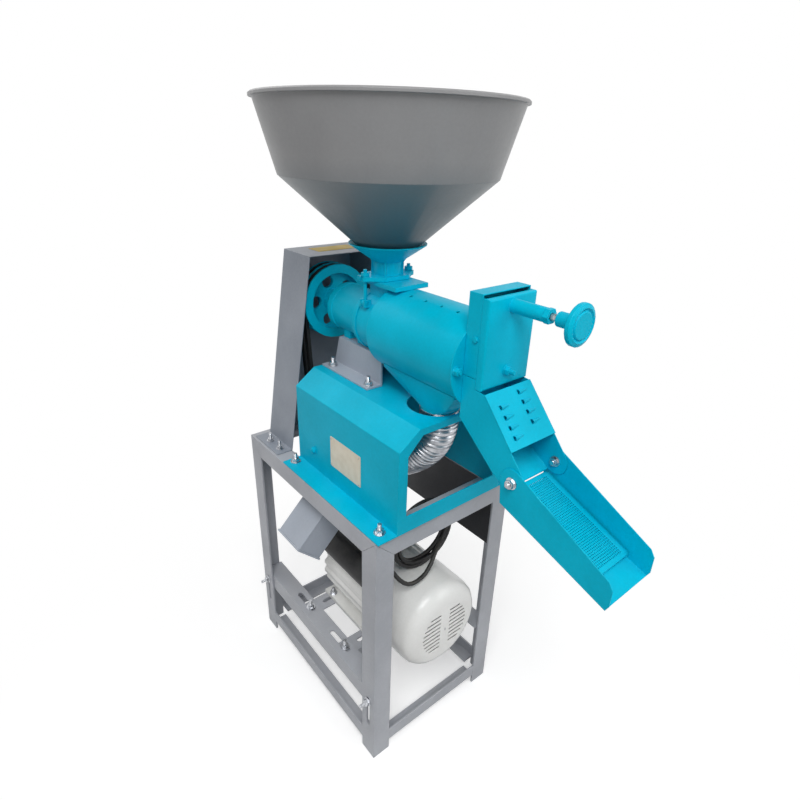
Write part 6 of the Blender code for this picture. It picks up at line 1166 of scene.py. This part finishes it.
def make_sieve():
    """The punched sieve of the lower chute, its long edges turned up and its ends turned down."""
    back = Vector((0, *SIEVE_BACK))
    front = Vector((0, *SIEVE_FRONT))
    along = (front - back).normalized()
    normal = Vector((0, along.z, -along.y)).normalized()
    if normal.z < 0:
        normal = -normal
    length = (front - back).length
    across_count = int(2 * (SIEVE_HALF_WIDTH - SIEVE_EDGE) / SIEVE_PITCH)
    along_count = int((length - 2 * SIEVE_EDGE) / SIEVE_PITCH)
    sizes = {"Across": across_count, "Along": along_count, "Finish": TEAL}
    empty_seed = bpy.data.meshes.new("sieve_seed")
    mesh = grown("sieve_net", empty_seed, SIEVE_TREE, sizes)
    half_across = across_count * SIEVE_PITCH / 2
    half_along = along_count * SIEVE_PITCH / 2
    middle = (back + front) / 2 - normal * SIEVE_SHEET
    shape = bmesh.new()
    shape.from_mesh(mesh)
    rim_edges = [edge for edge in shape.edges if edge.is_boundary]
    outer = []
    for edge in rim_edges:
        ends = [vert.co for vert in edge.verts]
        on_side = all(abs(abs(p.x) - half_across) < EDGE_DISTANCE for p in ends)
        on_end = all(abs(abs(p.y) - half_along) < EDGE_DISTANCE for p in ends)
        if on_side or on_end:
            outer.append(edge)
    made = bmesh.ops.extrude_edge_only(shape, edges=outer)
    for vert in [item for item in made["geom"] if isinstance(item, bmesh.types.BMVert)]:
        if abs(abs(vert.co.x) - half_across) < EDGE_DISTANCE:
            vert.co.x = math.copysign(SIEVE_HALF_WIDTH, vert.co.x)
        if abs(abs(vert.co.y) - half_along) < EDGE_DISTANCE:
            vert.co.y = math.copysign(length / 2, vert.co.y)
    ends = [edge for edge in shape.edges if edge.is_boundary
            and all(abs(abs(vert.co.y) - length / 2) < EDGE_DISTANCE for vert in edge.verts)]
    turned = bmesh.ops.extrude_edge_only(shape, edges=ends)
    for vert in [item for item in turned["geom"] if isinstance(item, bmesh.types.BMVert)]:
        vert.co.z -= SIEVE_TURN_DOWN
    for vert in shape.verts:
        edge_share = max((abs(vert.co.x) - (SIEVE_HALF_WIDTH - 2 * SIEVE_EDGE)) / (2 * SIEVE_EDGE), 0)
        lift = SIEVE_TURN_UP * edge_share**2
        x, y, z = vert.co
        vert.co = middle + Vector((x, 0, 0)) + along * y + normal * (z + lift)
        vert.co.y += DRAWING_SHIFT_Y
    bmesh.ops.recalc_face_normals(shape, faces=shape.faces)
    shape.to_mesh(mesh)
    shape.free()
    sieve = piece("sieve_net", mesh, TEAL, "tilting_chute")
    wall = sieve.modifiers.new("sheet_wall", "SOLIDIFY")
    wall.thickness = SIEVE_SHEET
    wall.offset = 0
    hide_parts("chute_screen")


# Fasteners


def spread(half_x, ys, z):
    """Seats facing up, on the left and then on the right, at each place along Y."""
    return [(at(x, y, z), UP) for x in (-half_x, half_x) for y in ys]


def make_fasteners():
    """Every bolt, nut, screw and rivet that the photograph shows, on the holes of the CAD."""
    nuts("stand_box_bolts", spread(STAND_BOLT_X, BOX_BOLT_YS, BOX_BOLT_Z), ZINC, BOX_NUT)
    nuts("guard_bolts", spread(STAND_BOLT_X, GUARD_BOLT_YS, GUARD_BOLT_Z), ZINC, GUARD_NUT)
    saddle = spread(PEDESTAL_BOLT_X, PEDESTAL_BOLT_YS, PEDESTAL_BOLT_Z)
    nuts("pedestal_bolts", saddle, ZINC, PEDESTAL_NUT)
    nuts("rail_bolts", spread(RAIL_BOLT_X, MOTOR_BOLT_YS, RAIL_BOLT_Z), ZINC, RAIL_NUT)
    nuts("motor_foot_bolts", spread(MOTOR_BOLT_X, MOTOR_BOLT_YS, MOTOR_BOLT_Z), ZINC, MOTOR_NUT)
    legs = [(at(-LEG_BOLT_X, y, LEG_BOLT_Z), LEFT) for y in LEG_BOLT_YS]
    legs += [(at(LEG_BOLT_X, y, LEG_BOLT_Z), RIGHT) for y in LEG_BOLT_YS]
    nuts("leg_bolts", legs, ZINC, LEG_NUT)
    disc = [(at(x, DISC_BOLT_Y, DISC_BOLT_Z), FORWARD) for x in (-DISC_BOLT_X, DISC_BOLT_X)]
    nuts("disc_bolts", disc, TEAL, DISC_NUT)
    nuts("door_stud", [(at(*DOOR_STUD_PLACE), FORWARD)], TEAL, DOOR_NUT)
    heads("fan_cover_screw", [(at(*FAN_SCREW_PLACE), FORWARD)], ZINC, FAN_SCREW)
    wall = [(at(-BOX_SIDE_X, BOX_SIDE_Y, BOX_SIDE_Z), LEFT), (at(BOX_SIDE_X, BOX_SIDE_Y, BOX_SIDE_Z), RIGHT)]
    nuts("box_side_bolts", wall, TEAL, BOX_SIDE_NUT)


def make_pivot_bolts():
    """The lower chute's two pivot bolts: heads inside the upper chute, nuts outside the lower one."""
    y, z = PIVOT_PLACE
    outside = [(at(side * PIVOT_NUT_SEAT, y, z), (side, 0, 0)) for side in (-1, 1)]
    tightened = nuts("pivot_nuts", outside, ZINC, PIVOT_NUT)
    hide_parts("pivot_rod")
    inside = [(at(side * PIVOT_HEAD_SEAT, y, z), (-side, 0, 0)) for side in (-1, 1)]
    nuts("pivot_heads", inside, ZINC, PIVOT_HEAD)


# Plates and labels


def rounded_plate(name, low, high, axis, corner, thickness):
    """A flat plate with round corners, on a plane across axis."""
    shape = bmesh.new()
    flat = [index for index in range(3) if index != axis]
    near_u, far_u = low[flat[0]] + corner, high[flat[0]] - corner
    near_v, far_v = low[flat[1]] + corner, high[flat[1]] - corner
    corners = ((far_u, far_v, 0), (near_u, far_v, 1), (near_u, near_v, 2), (far_u, near_v, 3))
    face = []
    for u, v, quarter in corners:
        for step in range(PLATE_CORNER_STEPS + 1):
            angle = math.pi / 2 * (quarter + step / PLATE_CORNER_STEPS)
            place = [0.0, 0.0, 0.0]
            place[axis] = low[axis]
            place[flat[0]] = u + corner * math.cos(angle)
            place[flat[1]] = v + corner * math.sin(angle)
            face.append(shape.verts.new(place))
    bottom = shape.faces.new(face)
    pulled = bmesh.ops.extrude_face_region(shape, geom=[bottom])
    move = [0.0, 0.0, 0.0]
    move[axis] = thickness
    top = [item for item in pulled["geom"] if isinstance(item, bmesh.types.BMVert)]
    bmesh.ops.translate(shape, verts=top, vec=move)
    return mesh_of(shape, name)


def make_plates():
    """The bare nameplate with its rivets, and the blank label on the guard."""
    low, high = at(*NAMEPLATE_LOW), at(*NAMEPLATE_HIGH)
    sheet = rounded_plate("nameplate", low, high, 0, NAMEPLATE_CORNER, -NAMEPLATE_SHEET)
    plate = piece("nameplate", sheet, PLATE_METAL)
    bevel = plate.modifiers.new("broken_corners", "BEVEL")
    bevel.width = NAMEPLATE_ROUNDING
    bevel.limit_method = "ANGLE"
    face_x = low[0] - NAMEPLATE_SHEET
    seats = []
    for y in (low[1] + RIVET_INSET, high[1] - RIVET_INSET):
        for z in (low[2] + RIVET_INSET, high[2] - RIVET_INSET):
            seats.append((Vector((face_x, y, z)), LEFT))
    heads("nameplate_rivets", seats, ZINC, RIVET)
    guard_low, guard_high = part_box("belt_guard")
    label_z = guard_high[2] - LABEL_SINK
    label_low = Vector((LABEL_LEFT, guard_low[1] + LABEL_INSET, label_z))
    label_high = Vector((LABEL_RIGHT, guard_low[1] + LABEL_INSET + LABEL_WIDTH, label_z))
    label = rounded_plate("guard_label", label_low, label_high, 2, LABEL_CORNER, LABEL_SHEET)
    piece("guard_label", label, LABEL_YELLOW)


# Stage


def seen_ray(tree):
    """1 for what the camera sees, straight, mirrored or through glass."""
    path = tree.nodes.new("ShaderNodeLightPath").outputs
    mirrored = maths(tree, "MAXIMUM", path["Is Glossy Ray"], path["Is Transmission Ray"])
    return maths(tree, "MAXIMUM", path["Is Camera Ray"], mirrored)


def white_floor():
    """A pale floor that keeps the shadow near the object and fades to the white background."""
    mesh = bpy.data.meshes.new("studio_floor")
    half = FLOOR_HALF
    corners = [(-half, -half, 0), (half, -half, 0), (half, half, 0), (-half, half, 0)]
    mesh.from_pydata(corners, [], [(0, 1, 2, 3)])
    floor = bpy.data.objects.new("studio_floor", mesh)
    bpy.context.scene.collection.objects.link(floor)
    material = bpy.data.materials.new("studio_floor")
    material.use_nodes = True
    tree = material.node_tree
    tree.nodes.clear()
    place = add(tree, "ShaderNodeTexCoord").outputs["Object"]
    distance = add(tree, "ShaderNodeVectorMath", {0: place}, operation="LENGTH").outputs["Value"]
    far = ramped(tree, distance, FLOOR_NEAR, FLOOR_FAR)
    grain = add(tree, "ShaderNodeTexNoise", {"Vector": place, "Scale": 3.0, "Detail": 2.0}).outputs["Fac"]
    tone = ramped(tree, grain, 0.3, 0.7, 0.93, 0.97)
    colour = add(tree, "ShaderNodeCombineColor", {0: tone, 1: tone, 2: tone}).outputs[0]
    matt = add(tree, "ShaderNodeBsdfDiffuse", {"Color": colour}).outputs[0]
    white = add(tree, "ShaderNodeEmission", {"Color": WHITE, "Strength": 1.0}).outputs[0]
    lift = add(tree, "ShaderNodeEmission", {"Color": WHITE, "Strength": FLOOR_LIFT}).outputs[0]
    near = add(tree, "ShaderNodeAddShader", {0: matt, 1: lift}).outputs[0]
    dim = add(tree, "ShaderNodeBsdfDiffuse", {"Color": FLOOR_BOUNCE}).outputs[0]
    seen = seen_ray(tree)
    near_seen = add(tree, "ShaderNodeMixShader", {0: seen, 1: dim, 2: near}).outputs[0]
    far_seen = add(tree, "ShaderNodeMixShader", {0: seen, 1: dim, 2: white}).outputs[0]
    both = add(tree, "ShaderNodeMixShader", {0: far, 1: near_seen, 2: far_seen}).outputs[0]
    add(tree, "ShaderNodeOutputMaterial", {"Surface": both})
    mesh.materials.append(material)


def white_world():
    """White to the camera and to mirrors, a plain grey light to everything else."""
    world = bpy.data.worlds.new("studio")
    bpy.context.scene.world = world
    world.use_nodes = True
    tree = world.node_tree
    tree.nodes.clear()
    seen = seen_ray(tree)
    light = add(tree, "ShaderNodeBackground", {"Color": WHITE, "Strength": WORLD_LIGHT}).outputs[0]
    white = add(tree, "ShaderNodeBackground", {"Color": WHITE, "Strength": 1.0}).outputs[0]
    both = add(tree, "ShaderNodeMixShader", {0: seen, 1: light, 2: white}).outputs[0]
    add(tree, "ShaderNodeOutputWorld", {"Surface": both})


def soft_lamp(name, place, target, size, power):
    """A large soft lamp turned to a target."""
    lamp = bpy.data.lights.new(name, "AREA")
    lamp.shape = "SQUARE"
    lamp.size = size
    lamp.energy = power
    made = bpy.data.objects.new(name, lamp)
    way = Vector(target) - Vector(place)
    made.matrix_world = Matrix.Translation(place) @ way.to_track_quat("-Z", "Y").to_matrix().to_4x4()
    bpy.context.scene.collection.objects.link(made)


def set_lights():
    for lamp in LAMPS:
        soft_lamp(*lamp)


def dress_nodes():
    """Each CAD node that isn't replaced by a piece of its own, with its corners broken and its finish on."""
    for node in sorted(frame["nodes"]):
        if node not in OWN_PIECE:
            finished(node, ROUNDINGS.get(node, 0.0), SHADE_ANGLES.get(node, SMOOTH_ANGLE))


bpy.context.scene.view_settings.view_transform = "Standard"
set_camera()
make_lead()
dress_nodes()
make_hose()
make_sieve()
make_fasteners()
make_pivot_bolts()
make_plates()
white_floor()
white_world()
set_lights()
